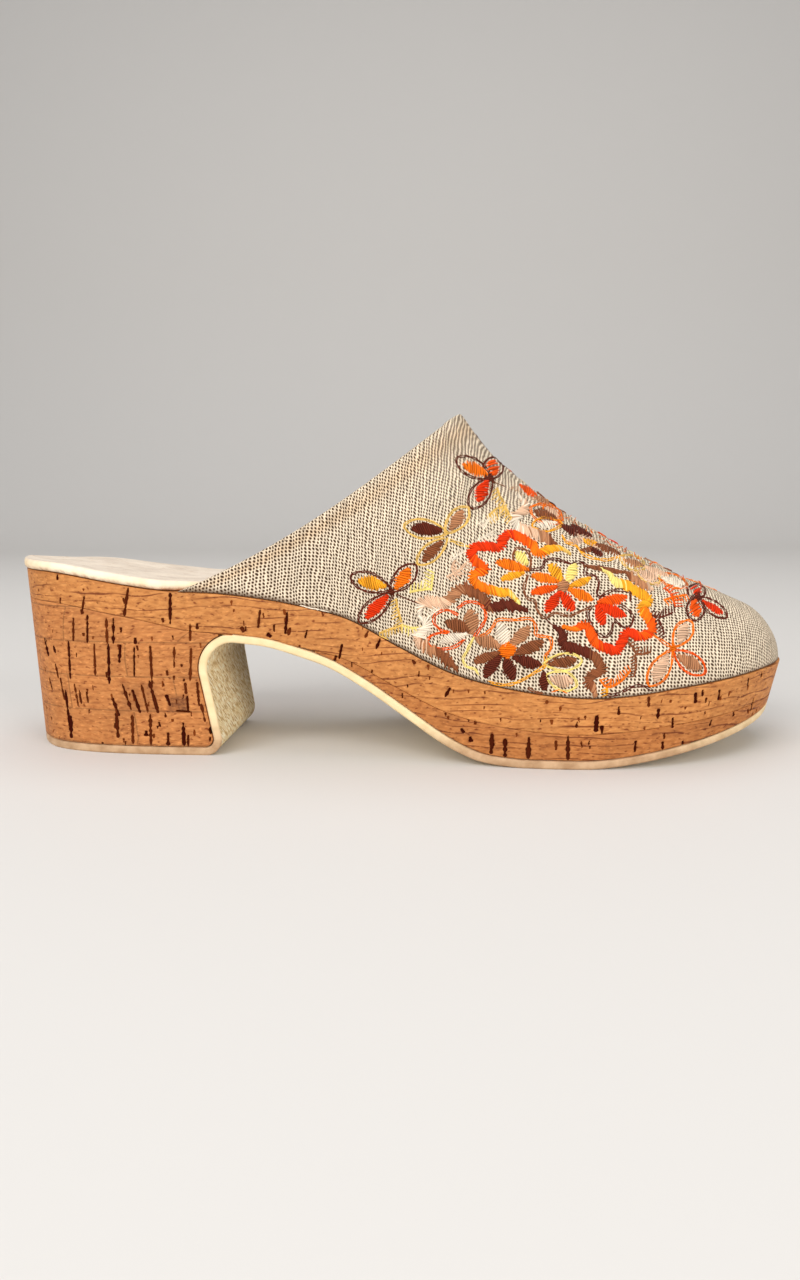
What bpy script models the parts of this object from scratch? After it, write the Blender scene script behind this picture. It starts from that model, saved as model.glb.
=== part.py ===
"""Platform clog for the right foot: a linen mule upper on a cork platform sole with a block heel.

The toe points to +X, the inner (medial) side of the foot is +Y and the outer (lateral) side is -Y.
The sole stands on z = 0 and the origin is under the middle of the shoe's box.
All sizes are in millimetres until a mesh is made, and MM turns them into metres.
Stations run along the foot from the back of the heel, at 0, to the tip of the toe, at LENGTH.
"""

import math
from collections import namedtuple

import bmesh
import bpy

MM = 0.001

# Driving sizes of the last and the sole
LENGTH = 252.5
BALL_WIDTH = 90.0
HEEL_HEIGHT = 58.5
INSTEP_HEIGHT = 107.0
WALL = 2.0
GAP = 0.3

# How far the side of the sole leans in between the feather line and the floor
HEEL_RAKE = 3.2
TOE_RAKE = 6.5

# Outsole, a strip that runs under the heel, up the breast, along the arch and under the forefoot
OUTSOLE_THICK = 2.6
HEEL_FRONT = 68.2
HEEL_CORNER_RADIUS = 2.5
BREAST_LEAN = 4.0
ARCH_CROWN = 39.2
ARCH_CORNER_RADIUS = 11.5
TREAD_BACK = 164.5
TREAD_FRONT = 185.0
TOE_SPRING = 11.9
TOE_SPRING_POWER = 1.35

# Thinnest edge that a tapering cork layer is left with
FEATHER_EDGE = 0.6

# Insole, which overhangs the heel and passes inside the upper further forward
INSOLE_THICK = 3.4
INSOLE_OVERHANG = 0.6
INSOLE_INSET = 3.5
INSOLE_TOE_INSET = 4.2
INSOLE_NARROWS_FROM = 49.5
INSOLE_NARROWS_TO = 60.5
INSOLE_DISH = 0.8
INSOLE_TILT = 1.7
INSOLE_TILT_END = 62.0
INSOLE_EDGE_STEPS = 6

# Upper, from the rear corners of its topline to the toe
UPPER_SET_IN = 0.5
UPPER_BACK = 62.0
UPPER_BACK_RISE = 1.2
THROAT_STATION = 146.9
TOPLINE_SAG = 4.6
ROUND_SECTION = 2.0
TOE_FULLNESS = 0.16

# Mesh density
SOLE_STATIONS = 72
HEEL_STATIONS = 22
UPPER_ROWS = 34
UPPER_COLUMNS = 36

# Sole outline at the feather line: station as a share of LENGTH, edges as shares of BALL_WIDTH,
# and drafts, how far each side leans in towards the floor
Outline = namedtuple("Outline", "station lateral medial lateral_draft medial_draft")
OUTLINE = [
    Outline(0.000, 0.000, 0.000, 0.0, 0.0),
    Outline(0.016, -0.160, 0.150, 0.2, 1.0),
    Outline(0.047, -0.259, 0.236, 0.4, 3.0),
    Outline(0.098, -0.317, 0.283, 0.5, 6.0),
    Outline(0.170, -0.347, 0.303, 0.6, 9.0),
    Outline(0.268, -0.359, 0.311, 0.8, 9.5),
    Outline(0.386, -0.367, 0.322, 1.0, 7.0),
    Outline(0.485, -0.406, 0.355, 1.2, 4.0),
    Outline(0.584, -0.461, 0.427, 1.4, 2.0),
    Outline(0.683, -0.497, 0.489, 1.2, 1.2),
    Outline(0.743, -0.502, 0.506, 1.0, 1.0),
    Outline(0.802, -0.483, 0.500, 0.9, 0.9),
    Outline(0.870, -0.422, 0.472, 0.9, 0.9),
    Outline(0.925, -0.325, 0.407, 0.8, 0.8),
    Outline(0.969, -0.190, 0.298, 0.5, 0.5),
    Outline(0.992, -0.058, 0.184, 0.2, 0.2),
    Outline(1.000, 0.066, 0.066, 0.0, 0.0),
]

# Feather line, where the upper meets the cork: height as a share of HEEL_HEIGHT
Feather = namedtuple("Feather", "station height")
FEATHER = [
    Feather(0.000, 1.000),
    Feather(0.072, 0.985),
    Feather(0.153, 0.930),
    Feather(0.223, 0.889),
    Feather(0.283, 0.878),
    Feather(0.344, 0.845),
    Feather(0.394, 0.804),
    Feather(0.445, 0.746),
    Feather(0.505, 0.612),
    Feather(0.566, 0.488),
    Feather(0.626, 0.418),
    Feather(0.687, 0.379),
    Feather(0.738, 0.367),
    Feather(0.788, 0.382),
    Feather(0.838, 0.410),
    Feather(0.899, 0.438),
    Feather(0.960, 0.460),
    Feather(1.000, 0.459),
]

# Midsole board under the feather line: thickness in millimetres
Board = namedtuple("Board", "station thick")
BOARD = [
    Board(0.000, 9.2),
    Board(0.132, 9.4),
    Board(0.193, 9.9),
    Board(0.263, 11.9),
    Board(0.354, 12.3),
    Board(0.495, 12.2),
    Board(0.596, 11.6),
    Board(0.748, 10.4),
    Board(0.879, 10.9),
    Board(1.000, 10.4),
]

# Underside of the cork from the crown of the arch to the tread: height as a share of ARCH_CROWN
Arch = namedtuple("Arch", "station height")
ARCH = [
    Arch(0.299, 1.000),
    Arch(0.344, 0.963),
    Arch(0.382, 0.893),
    Arch(0.425, 0.795),
    Arch(0.471, 0.630),
    Arch(0.518, 0.428),
    Arch(0.564, 0.232),
    Arch(0.599, 0.124),
    Arch(0.623, 0.090),
    Arch(0.652, 0.074),
]

# Ridge of the upper over the foot: height as a share of INSTEP_HEIGHT, and the ridge's side step
# towards the inner side as a share of BALL_WIDTH. Rows before the throat only shape the sides.
Ridge = namedtuple("Ridge", "station height side")
RIDGE = [
    Ridge(0.223, 1.560, 0.000),
    Ridge(0.394, 1.440, 0.000),
    Ridge(0.495, 1.230, 0.010),
    Ridge(0.582, 1.000, 0.020),
    Ridge(0.613, 0.902, 0.024),
    Ridge(0.641, 0.838, 0.028),
    Ridge(0.668, 0.786, 0.030),
    Ridge(0.702, 0.724, 0.032),
    Ridge(0.734, 0.676, 0.034),
    Ridge(0.802, 0.582, 0.038),
    Ridge(0.870, 0.503, 0.046),
    Ridge(0.905, 0.469, 0.052),
    Ridge(0.937, 0.437, 0.058),
    Ridge(0.965, 0.404, 0.062),
    Ridge(0.986, 0.349, 0.065),
    Ridge(0.998, 0.288, 0.066),
    Ridge(1.000, 0.259, 0.066),
]


def smooth(knots, values, at):
    """Cubic curve through the knots, with each knot's slope taken from its two neighbours."""
    last = len(knots) - 1
    at = min(max(at, knots[0]), knots[last])
    left = 0
    while left < last - 1 and at > knots[left + 1]:
        left += 1

    def slope(index):
        before = max(index - 1, 0)
        after = min(index + 1, last)
        return (values[after] - values[before]) / (knots[after] - knots[before])

    width = knots[left + 1] - knots[left]
    share = (at - knots[left]) / width
    rise = share * share * (3.0 - 2.0 * share)
    start_bend = share * (1.0 - share) ** 2 * width * slope(left)
    end_bend = share * share * (share - 1.0) * width * slope(left + 1)
    return values[left] + rise * (values[left + 1] - values[left]) + start_bend + end_bend


def turn_of(station_share):
    """Half-turn angle from 0 to 1, in which round heel and toe ends become straight lines."""
    return math.acos(1.0 - 2.0 * min(max(station_share, 0.0), 1.0)) / math.pi


def share_of(turn):
    return 0.5 * (1.0 - math.cos(math.pi * turn))


def column(rows, name, station, round_ends=False):
    """Value of one table column at a station in millimetres."""
    share = station / LENGTH
    knots = [row.station for row in rows]
    if round_ends:
        knots = [turn_of(knot) for knot in knots]
        share = turn_of(share)
    return smooth(knots, [getattr(row, name) for row in rows], share)


def edges(station):
    """Lateral and medial y of the sole's outline at the feather line."""
    lateral = column(OUTLINE, "lateral", station, round_ends=True) * BALL_WIDTH
    medial = column(OUTLINE, "medial", station, round_ends=True) * BALL_WIDTH
    return lateral, medial


def feather(station):
    return column(FEATHER, "height", station) * HEEL_HEIGHT


def lean(station):
    """Shift along the foot from the feather line down to the floor."""
    share = station / LENGTH
    return HEEL_RAKE * (1.0 - share) - TOE_RAKE * share


def wall_edges(x, z):
    """Lateral and medial y of the sole's side wall at a place along the foot and a height."""
    station = x
    for _ in range(6):
        down = 1.0 - z / feather(min(max(station, 0.0), LENGTH))
        station = x - down * lean(station)
    station = min(max(station, 0.0), LENGTH)
    lateral, medial = edges(station)
    lateral += column(OUTLINE, "lateral_draft", station) * down
    medial -= column(OUTLINE, "medial_draft", station) * down
    return lateral, medial


def wall_back(z):
    return HEEL_RAKE * (1.0 - z / feather(0.0))


def wall_toe(z):
    return LENGTH - TOE_RAKE * (1.0 - z / feather(LENGTH))


def tread_curve(x):
    """Height of the cork's underside from the crown of the arch to the toe."""
    floor_of_cork = OUTSOLE_THICK + GAP
    if x < TREAD_BACK:
        curve = column(ARCH, "height", x) * ARCH_CROWN
        return max(curve, floor_of_cork)
    if x < TREAD_FRONT:
        return floor_of_cork
    spring = (x - TREAD_FRONT) / (LENGTH - TREAD_FRONT)
    return floor_of_cork + TOE_SPRING * spring**TOE_SPRING_POWER


def arc(centre, radius, start, end, steps):
    """Points on an arc in the side view, angles in degrees from +X towards +Z."""
    points = []
    for step in range(steps + 1):
        angle = math.radians(start + (end - start) * step / steps)
        points.append((centre[0] + radius * math.cos(angle), centre[1] + radius * math.sin(angle)))
    return points


def breast_path(out):
    """Side view from the heel's front lower corner up the breast to the arch crown, out from the cork."""
    floor_of_cork = OUTSOLE_THICK + GAP
    lean_angle = math.degrees(math.atan2(BREAST_LEAN, ARCH_CROWN))
    corner = (HEEL_FRONT - HEEL_CORNER_RADIUS, floor_of_cork + HEEL_CORNER_RADIUS)
    lower = arc(corner, HEEL_CORNER_RADIUS + out, -90.0, lean_angle, 6)
    crown = (HEEL_FRONT - BREAST_LEAN + ARCH_CORNER_RADIUS, ARCH_CROWN - ARCH_CORNER_RADIUS)
    upper = arc(crown, ARCH_CORNER_RADIUS - out, 180.0 + lean_angle, 90.0, 10)
    return lower + upper


def board_underside(station):
    """Height of the midsole board's lower face, which is the arch itself where no layer lies below."""
    plain = feather(station) - column(BOARD, "thick", station)
    crown = HEEL_FRONT - BREAST_LEAN + ARCH_CORNER_RADIUS
    if station < crown:
        return plain
    return max(plain, tread_curve(station))


def new_object(name, bm, material):
    bmesh.ops.remove_doubles(bm, verts=bm.verts, dist=1e-6)
    bmesh.ops.dissolve_degenerate(bm, edges=bm.edges, dist=1e-7)
    bmesh.ops.recalc_face_normals(bm, faces=bm.faces)
    mesh = bpy.data.meshes.new(name)
    bm.to_mesh(mesh)
    bm.free()
    mesh.shade_smooth()
    mesh.set_sharp_from_angle(angle=math.radians(35.0))
    mesh.materials.append(material)
    made = bpy.data.objects.new(name, mesh)
    bpy.context.scene.collection.objects.link(made)
    return made


def vertex(bm, point):
    return bm.verts.new(((point[0] - MIDDLE_X) * MM, (point[1] - MIDDLE_Y) * MM, point[2] * MM))


def face(bm, corners):
    """Face from the corners that differ in place, since sections close to a line at the ends."""
    kept = []
    for corner in corners:
        if all((corner.co - other.co).length > 1e-7 for other in kept):
            kept.append(corner)
    if len(kept) > 2:
        bm.faces.new(kept)


def loft(name, sections, material):
    """Closed solid through sections, each a loop of pairs: up one side and down the other."""
    bm = bmesh.new()
    loops = [[vertex(bm, point) for point in section] for section in sections]
    count = len(loops[0])
    for first, second in zip(loops, loops[1:]):
        for i in range(count):
            j = (i + 1) % count
            face(bm, (first[i], first[j], second[j], second[i]))
    for end in (loops[0], loops[-1]):
        for i in range(count // 2 - 1):
            face(bm, (end[i], end[i + 1], end[count - 2 - i], end[count - 1 - i]))
    return new_object(name, bm, material)


def slab_section(x_top, z_top, x_low, z_low):
    """Four corners of a sole layer: lateral low and top, then medial top and low."""
    top_lateral, top_medial = wall_edges(x_top, z_top)
    low_lateral, low_medial = wall_edges(x_low, z_low)
    return [
        (x_low, low_lateral, z_low),
        (x_top, top_lateral, z_top),
        (x_top, top_medial, z_top),
        (x_low, low_medial, z_low),
    ]


def place_on_wall(station, z):
    """Place along the foot of the wall line that starts at a feather station, at a height."""
    return station + (1.0 - z / feather(station)) * lean(station)


def make_midsole(material):
    sections = []
    for i in range(SOLE_STATIONS + 1):
        station = LENGTH * share_of(i / SOLE_STATIONS)
        top = feather(station)
        low = board_underside(station)
        sections.append(slab_section(station, top, place_on_wall(station, low), low))
    return loft("midsole", sections, material)


def make_forefoot_platform(material):
    """Cork layer under the board, from a feather edge in the arch to the toe."""
    start = 0.36 * LENGTH
    while board_underside(start) - GAP - tread_curve(start) < FEATHER_EDGE:
        start += 0.5
    sections = []
    for i in range(SOLE_STATIONS + 1):
        station = start + (LENGTH - start) * math.sin(0.5 * math.pi * i / SOLE_STATIONS)
        top = board_underside(station) - GAP
        low = tread_curve(station)
        x_top = place_on_wall(station, top)
        x_low = place_on_wall(station, low)
        sections.append(slab_section(x_top, top, x_low, tread_curve(x_low)))
    return loft("forefoot_platform", sections, material)


def make_heel(material):
    """Block under the board: levels follow the breast, and each runs from the heel's back to it."""
    floor_of_cork = OUTSOLE_THICK + GAP
    front = [(HEEL_FRONT - HEEL_CORNER_RADIUS, floor_of_cork)]
    for x, z in breast_path(0.0)[1:]:
        if board_underside(x) - GAP - z >= FEATHER_EDGE:
            front.append((x, z))
    front.append((front[-1][0], board_underside(front[-1][0]) - GAP))
    sections = []
    for i in range(HEEL_STATIONS + 1):
        along = 1.0 - math.cos(0.5 * math.pi * i / HEEL_STATIONS)
        lateral_side = []
        medial_side = []
        for x_front, z_front in front:
            level = (z_front - floor_of_cork) / (board_underside(x_front) - GAP - floor_of_cork)
            back = wall_back(floor_of_cork + level * (board_underside(0.0) - GAP - floor_of_cork))
            x = back + (x_front - back) * along
            z = floor_of_cork + level * (board_underside(x) - GAP - floor_of_cork)
            lateral, medial = wall_edges(x, z) if i else (0.0, 0.0)
            lateral_side.append((x, lateral, z))
            medial_side.append((x, medial, z))
        sections.append(lateral_side + medial_side[::-1])
    return loft("heel", sections, material)


def make_outsole(material):
    """Strip of even thickness along the cork's underside: heel, breast, then arch to toe."""
    sections = []
    top_path = breast_path(GAP)
    low_path = breast_path(GAP + OUTSOLE_THICK)
    for i in range(HEEL_STATIONS):
        along = 1.0 - math.cos(0.5 * math.pi * i / HEEL_STATIONS)
        corners = []
        for x_front, z in (top_path[0], low_path[0]):
            back = wall_back(z)
            corners += [back + (x_front - back) * along, z]
        sections.append(slab_section(*corners))
    for top, low in zip(top_path, low_path):
        sections.append(slab_section(*top, *low))
    crown = top_path[-1][0]
    for i in range(1, SOLE_STATIONS + 1):
        station = crown + (LENGTH - crown) * math.sin(0.5 * math.pi * i / SOLE_STATIONS)
        x = place_on_wall(station, tread_curve(station))
        slope = tread_curve(x + 0.5) - tread_curve(x - 0.5)
        upright = math.hypot(1.0, slope)
        corners = []
        for depth in (GAP, GAP + OUTSOLE_THICK):
            z = tread_curve(x) - depth * upright
            corners += [place_on_wall(station, z), z]
        sections.append(slab_section(*corners))
    return loft("outsole", sections, material)


def insole_margin(station):
    """How far the insole stands out past the sole's outline, or in from it inside the upper."""
    share = (station - INSOLE_NARROWS_FROM) / (INSOLE_NARROWS_TO - INSOLE_NARROWS_FROM)
    share = min(max(share, 0.0), 1.0)
    ease = share * share * (3.0 - 2.0 * share)
    return INSOLE_OVERHANG - (INSOLE_OVERHANG + INSOLE_INSET) * ease


def insole_tilt(station):
    """How much lower the insole's inner rim lies than its outer rim, at the heel."""
    share = min(max(station / INSOLE_TILT_END, 0.0), 1.0)
    return INSOLE_TILT * (1.0 - share * share)


def make_insole(material):
    """Board with a full round edge and a slightly dished top that falls to the inner side at the heel."""
    sections = []
    radius = 0.5 * (INSOLE_THICK - GAP)
    start = -INSOLE_OVERHANG
    reach = LENGTH - INSOLE_TOE_INSET - start
    widest_end = 20.0
    for i in range(SOLE_STATIONS + 1):
        turn = i / SOLE_STATIONS
        x = start + reach * share_of(turn)
        lateral, medial = edges(LENGTH * share_of(turn))
        middle = 0.5 * (lateral + medial)
        half = 0.5 * (medial - lateral)
        half *= 1.0 + insole_margin(x) / max(half, widest_end)
        base = feather(min(max(x, 0.0), LENGTH)) + GAP
        blunt = min(half / widest_end, 1.0)
        tilt = insole_tilt(x) * blunt
        sides = {-1: [], 1: []}
        for side, points in sides.items():
            rim = radius - 0.25 * tilt * (1.0 + side)
            edge = min(rim, 0.5 * half)
            for step in range(INSOLE_EDGE_STEPS + 1):
                angle = math.pi * (step / INSOLE_EDGE_STEPS - 0.5)
                out = half - edge + edge * math.cos(angle)
                points.append((x, middle + side * out, base + rim * (1.0 + math.sin(angle))))
            for inner in (0.66, 0.33):
                dish = INSOLE_DISH * (1.0 - inner * inner) * blunt
                top = 2.0 * radius - 0.5 * tilt * (1.0 + side * inner)
                points.append((x, middle + side * (half - edge) * inner, base + top - dish))
        sections.append(sides[-1] + sides[1][::-1])
    return loft("insole", sections, material)


def upper_point(station, turn):
    """Outer face of the upper. Turn runs from 0 at the lateral feather line to 1 at the medial one."""
    toe = LENGTH - UPPER_SET_IN
    share = min(station / toe, 1.0)
    lateral, medial = edges(LENGTH * share)
    middle = column(RIDGE, "side", LENGTH * share) * BALL_WIDTH
    base = feather(station) + GAP
    top = column(RIDGE, "height", LENGTH * share, round_ends=True) * INSTEP_HEIGHT
    toe_share = min(max((share - 0.7) / 0.3, 0.0), 1.0)
    power = 2.0 / (ROUND_SECTION + TOE_FULLNESS * toe_share)
    across = math.cos(math.pi * turn)
    up = math.sin(math.pi * turn)
    reach = (middle - lateral) if across > 0.0 else (medial - middle)
    narrowed = reach - UPPER_SET_IN * min(reach / 20.0, 1.0)
    y = middle - math.copysign(narrowed * abs(across) ** power, across)
    z = base + max(top - base, 0.0) * up**power
    return (station, y, z)


def topline(station):
    """Height of the topline in the side view: a straight rise from the rear corners with a slight sag."""
    low = feather(UPPER_BACK) + GAP + UPPER_BACK_RISE
    share = min(max((station - UPPER_BACK) / (THROAT_STATION - UPPER_BACK), 0.0), 1.0)
    return low + (INSTEP_HEIGHT - low) * share - 4.0 * TOPLINE_SAG * share * (1.0 - share)


def topline_station(turn):
    """Station where the upper's line at this turn comes out of the topline, found by halving."""
    low, high = UPPER_BACK, THROAT_STATION
    for _ in range(40):
        middle = 0.5 * (low + high)
        if upper_point(middle, turn)[2] > topline(middle):
            low = middle
        else:
            high = middle
    return high


def upper_normal(station, turn):
    """Outward direction of the upper's outer face."""
    step = 1e-3
    toe = LENGTH - UPPER_SET_IN
    if station > toe - 0.01:
        return (1.0, 0.0, 0.0)
    ahead = upper_point(min(station + step, toe), turn)
    behind = upper_point(station - step, turn)
    over = upper_point(station, min(turn + step, 1.0))
    under = upper_point(station, max(turn - step, 0.0))
    along = [a - b for a, b in zip(ahead, behind)]
    around = [a - b for a, b in zip(over, under)]
    cross = (
        along[1] * around[2] - along[2] * around[1],
        along[2] * around[0] - along[0] * around[2],
        along[0] * around[1] - along[1] * around[0],
    )
    size = math.sqrt(sum(value * value for value in cross))
    return tuple(value / size for value in cross)


def make_upper(material):
    """Open shell of the last's shape: outer and inner faces joined along the topline and feather line."""
    bm = bmesh.new()
    toe = LENGTH - UPPER_SET_IN
    outer = []
    inner = []
    for j in range(UPPER_COLUMNS + 1):
        turn = j / UPPER_COLUMNS
        start = topline_station(turn) if 0 < j < UPPER_COLUMNS else UPPER_BACK
        outer_line = []
        inner_line = []
        for i in range(UPPER_ROWS + 1):
            station = start + (toe - start) * math.sin(0.5 * math.pi * i / UPPER_ROWS)
            point = upper_point(station, turn)
            out = upper_normal(station, turn)
            behind = [p - WALL * n for p, n in zip(point, out)]
            if j in (0, UPPER_COLUMNS) or i == UPPER_ROWS:
                behind[2] = feather(behind[0]) + GAP
            outer_line.append(vertex(bm, point))
            inner_line.append(vertex(bm, behind))
        outer.append(outer_line)
        inner.append(inner_line)
    for j in range(UPPER_COLUMNS):
        for i in range(UPPER_ROWS):
            for grid in (outer, inner):
                face(bm, (grid[j][i], grid[j + 1][i], grid[j + 1][i + 1], grid[j][i + 1]))
        face(bm, (outer[j][0], outer[j + 1][0], inner[j + 1][0], inner[j][0]))
    for j in (0, UPPER_COLUMNS):
        for i in range(UPPER_ROWS):
            face(bm, (outer[j][i], outer[j][i + 1], inner[j][i + 1], inner[j][i]))
    return new_object("upper", bm, material)


def principled(name, colour, roughness):
    material = bpy.data.materials.new(name)
    material.use_nodes = True
    shader = material.node_tree.nodes["Principled BSDF"]
    shader.inputs["Base Color"].default_value = (*colour, 1.0)
    shader.inputs["Roughness"].default_value = roughness
    shader.inputs["Metallic"].default_value = 0.0
    return material


for leftover in list(bpy.data.objects):
    bpy.data.objects.remove(leftover, do_unlink=True)

# Middle of the shoe's box, where the origin lies
SIDES = [edges(LENGTH * share_of(i / SOLE_STATIONS)) for i in range(SOLE_STATIONS + 1)]
MIDDLE_X = 0.5 * (LENGTH - INSOLE_OVERHANG)
MIDDLE_Y = 0.5 * (min(side[0] for side in SIDES) + max(side[1] for side in SIDES))

CORK = principled("cork", (0.58, 0.29, 0.11), 0.75)
DARK_CORK = principled("dark_cork", (0.43, 0.19, 0.07), 0.75)
CREAM_RUBBER = principled("cream_rubber", (0.80, 0.70, 0.48), 0.8)
CREAM_LEATHER = principled("cream_leather", (0.82, 0.75, 0.66), 0.6)
LINEN = principled("linen", (0.50, 0.43, 0.34), 0.9)

make_outsole(CREAM_RUBBER)
make_heel(CORK)
make_forefoot_platform(DARK_CORK)
make_midsole(CORK)
make_insole(CREAM_LEATHER)
make_upper(LINEN)
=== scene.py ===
"""Platform clog for the right foot: the looks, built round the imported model.

Shapes are worked out in the part's own sizes, in millimetres: station along the foot from the heel,
y towards the inner side of the foot and z up. MM and MIDDLE turn them into the frame's metres.
"""

import math
import random
from collections import namedtuple

import bmesh
import bpy
import numpy as np
from mathutils import Matrix, Vector, noise
from mathutils.bvhtree import BVHTree
from mathutils.kdtree import KDTree


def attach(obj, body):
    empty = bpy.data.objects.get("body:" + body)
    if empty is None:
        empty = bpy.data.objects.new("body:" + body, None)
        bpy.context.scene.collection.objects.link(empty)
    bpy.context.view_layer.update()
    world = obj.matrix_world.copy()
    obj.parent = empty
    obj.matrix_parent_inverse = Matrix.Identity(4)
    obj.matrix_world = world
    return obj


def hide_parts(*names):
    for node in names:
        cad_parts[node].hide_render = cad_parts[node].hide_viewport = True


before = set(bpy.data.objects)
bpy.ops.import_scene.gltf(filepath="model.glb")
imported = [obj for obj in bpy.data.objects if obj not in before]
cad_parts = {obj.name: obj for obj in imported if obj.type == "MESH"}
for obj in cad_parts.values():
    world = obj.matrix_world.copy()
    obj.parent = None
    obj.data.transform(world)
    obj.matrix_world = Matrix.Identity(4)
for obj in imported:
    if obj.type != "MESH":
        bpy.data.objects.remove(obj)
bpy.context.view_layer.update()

MM = 0.001
SEED = 11

# Driving sizes, the same as the part's
LENGTH = 252.5
BALL_WIDTH = 90.0
HEEL_HEIGHT = 58.5
INSTEP_HEIGHT = 107.0
WALL = 2.0
GAP = 0.3
HEEL_RAKE = 3.2
TOE_RAKE = 6.5
OUTSOLE_THICK = 2.6
HEEL_FRONT = 68.2
HEEL_CORNER_RADIUS = 2.5
BREAST_LEAN = 4.0
ARCH_CROWN = 39.2
ARCH_CORNER_RADIUS = 11.5
TREAD_BACK = 164.5
TREAD_FRONT = 185.0
TOE_SPRING = 11.9
TOE_SPRING_POWER = 1.35
FEATHER_EDGE = 0.6
INSOLE_THICK = 3.4
INSOLE_OVERHANG = 0.6
INSOLE_INSET = 3.5
INSOLE_TOE_INSET = 4.2
INSOLE_NARROWS_FROM = 49.5
INSOLE_NARROWS_TO = 60.5
INSOLE_DISH = 0.8
INSOLE_TILT = 1.7
INSOLE_TILT_END = 62.0
UPPER_SET_IN = 0.5
UPPER_BACK = 62.0
UPPER_BACK_RISE = 1.2
UPPER_TIP = 59.2
THROAT_STATION = 146.9
TOPLINE_SAG = 4.6
ROUND_SECTION = 2.0
TOE_FULLNESS = 0.16
TOE_FULL_FROM = 0.7
SET_IN_REACH = 20.0
UPPER_TOE = LENGTH - UPPER_SET_IN
CORK_FLOOR = OUTSOLE_THICK + GAP

# Surface sizes in millimetres
WARP_PITCH = 1.08
WARP_LEAN = 0.08
WARP_WANDER = 2.5
WARP_WAVER = 0.9
BEAD_PITCH = 1.1
# SEAM_SHADE: how far the painted shade at the feather line reaches
SEAM_SHADE = 0.5
TOPLINE_ROUND = 0.5
HEM_DEPTH = 4.0
HEM_WIDTH = 2.4
HEM_TROUGH = 0.15
CORK_SEAM = 0.08
CORK_LINE = 2.3
CORK_ROW = 11.0
CORK_ROW_START = 3.2
OUTSOLE_ROUGH = 0.25
ARCH_SHADE_FROM = 2.0
ARCH_SHADE_RUN = 50.0
GRIME_TOP = 13.0
GRIME_RUN = 9.0

# Sole outline at the feather line: station as a share of LENGTH, edges as shares of BALL_WIDTH,
# and drafts, how far each side leans in towards the floor
Outline = namedtuple("Outline", "station lateral medial lateral_draft medial_draft")
OUTLINE = [Outline(*row) for row in (
    (0.000, 0.000, 0.000, 0.0, 0.0), (0.016, -0.160, 0.150, 0.2, 1.0), (0.047, -0.259, 0.236, 0.4, 3.0),
    (0.098, -0.317, 0.283, 0.5, 6.0), (0.170, -0.347, 0.303, 0.6, 9.0), (0.268, -0.359, 0.311, 0.8, 9.5),
    (0.386, -0.367, 0.322, 1.0, 7.0), (0.485, -0.406, 0.355, 1.2, 4.0), (0.584, -0.461, 0.427, 1.4, 2.0),
    (0.683, -0.497, 0.489, 1.2, 1.2), (0.743, -0.502, 0.506, 1.0, 1.0), (0.802, -0.483, 0.500, 0.9, 0.9),
    (0.870, -0.422, 0.472, 0.9, 0.9), (0.925, -0.325, 0.407, 0.8, 0.8), (0.969, -0.190, 0.298, 0.5, 0.5),
    (0.992, -0.058, 0.184, 0.2, 0.2), (1.000, 0.066, 0.066, 0.0, 0.0),
)]

# Feather line, where the upper meets the cork: height as a share of HEEL_HEIGHT
Feather = namedtuple("Feather", "station height")
FEATHER = [Feather(*row) for row in (
    (0.000, 1.000), (0.072, 0.985), (0.153, 0.930), (0.223, 0.889), (0.283, 0.878), (0.344, 0.845),
    (0.394, 0.804), (0.445, 0.746), (0.505, 0.612), (0.566, 0.488), (0.626, 0.418), (0.687, 0.379),
    (0.738, 0.367), (0.788, 0.382), (0.838, 0.410), (0.899, 0.438), (0.960, 0.460), (1.000, 0.459),
)]

# Midsole board under the feather line: thickness in millimetres
Board = namedtuple("Board", "station thick")
BOARD = [Board(*row) for row in (
    (0.000, 9.2), (0.132, 9.4), (0.193, 9.9), (0.263, 11.9), (0.354, 12.3), (0.495, 12.2), (0.596, 11.6),
    (0.748, 10.4), (0.879, 10.9), (1.000, 10.4),
)]

# Underside of the cork from the crown of the arch to the tread: height as a share of ARCH_CROWN
Arch = namedtuple("Arch", "station height")
ARCH = [Arch(*row) for row in (
    (0.299, 1.000), (0.344, 0.963), (0.382, 0.893), (0.425, 0.795), (0.471, 0.630), (0.518, 0.428),
    (0.564, 0.232), (0.599, 0.124), (0.623, 0.090), (0.652, 0.074),
)]

# Ridge of the upper over the foot: height as a share of INSTEP_HEIGHT, and the ridge's side step
# towards the inner side as a share of BALL_WIDTH
Ridge = namedtuple("Ridge", "station height side")
RIDGE = [Ridge(*row) for row in (
    (0.223, 1.560, 0.000), (0.394, 1.440, 0.000), (0.495, 1.230, 0.010), (0.582, 1.000, 0.020),
    (0.613, 0.902, 0.024), (0.641, 0.838, 0.028), (0.668, 0.786, 0.030), (0.702, 0.724, 0.032),
    (0.734, 0.676, 0.034), (0.802, 0.582, 0.038), (0.870, 0.503, 0.046), (0.905, 0.469, 0.052),
    (0.937, 0.437, 0.058), (0.965, 0.404, 0.062), (0.986, 0.349, 0.065), (0.998, 0.288, 0.066),
    (1.000, 0.259, 0.066),
)]

# Camera, fitted to the photograph: focal length in pixels of the 800 x 1280 frame, angles in degrees
FRAME_WIDTH = 800.0
FRAME_HEIGHT = 1280.0
SENSOR = 36.0
FOCAL_PIXELS = 1000.0
EYE = np.array((147.73, -335.15, 82.07))
PITCH_DOWN = 8.4
YAW = -3.75
ROLL = -0.47

# Thread colours as they look on screen, 0 to 255
THREADS = {
    "red": (224, 54, 6),
    "flame": (238, 86, 8),
    "orange": (246, 118, 16),
    "amber": (248, 166, 36),
    "gold": (228, 184, 94),
    "pale": (246, 220, 126),
    "dark": (96, 38, 22),
    "brown": (136, 78, 46),
    "tan": (186, 128, 88),
    "blush": (228, 186, 152),
    "cream": (242, 224, 200),
}
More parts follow.
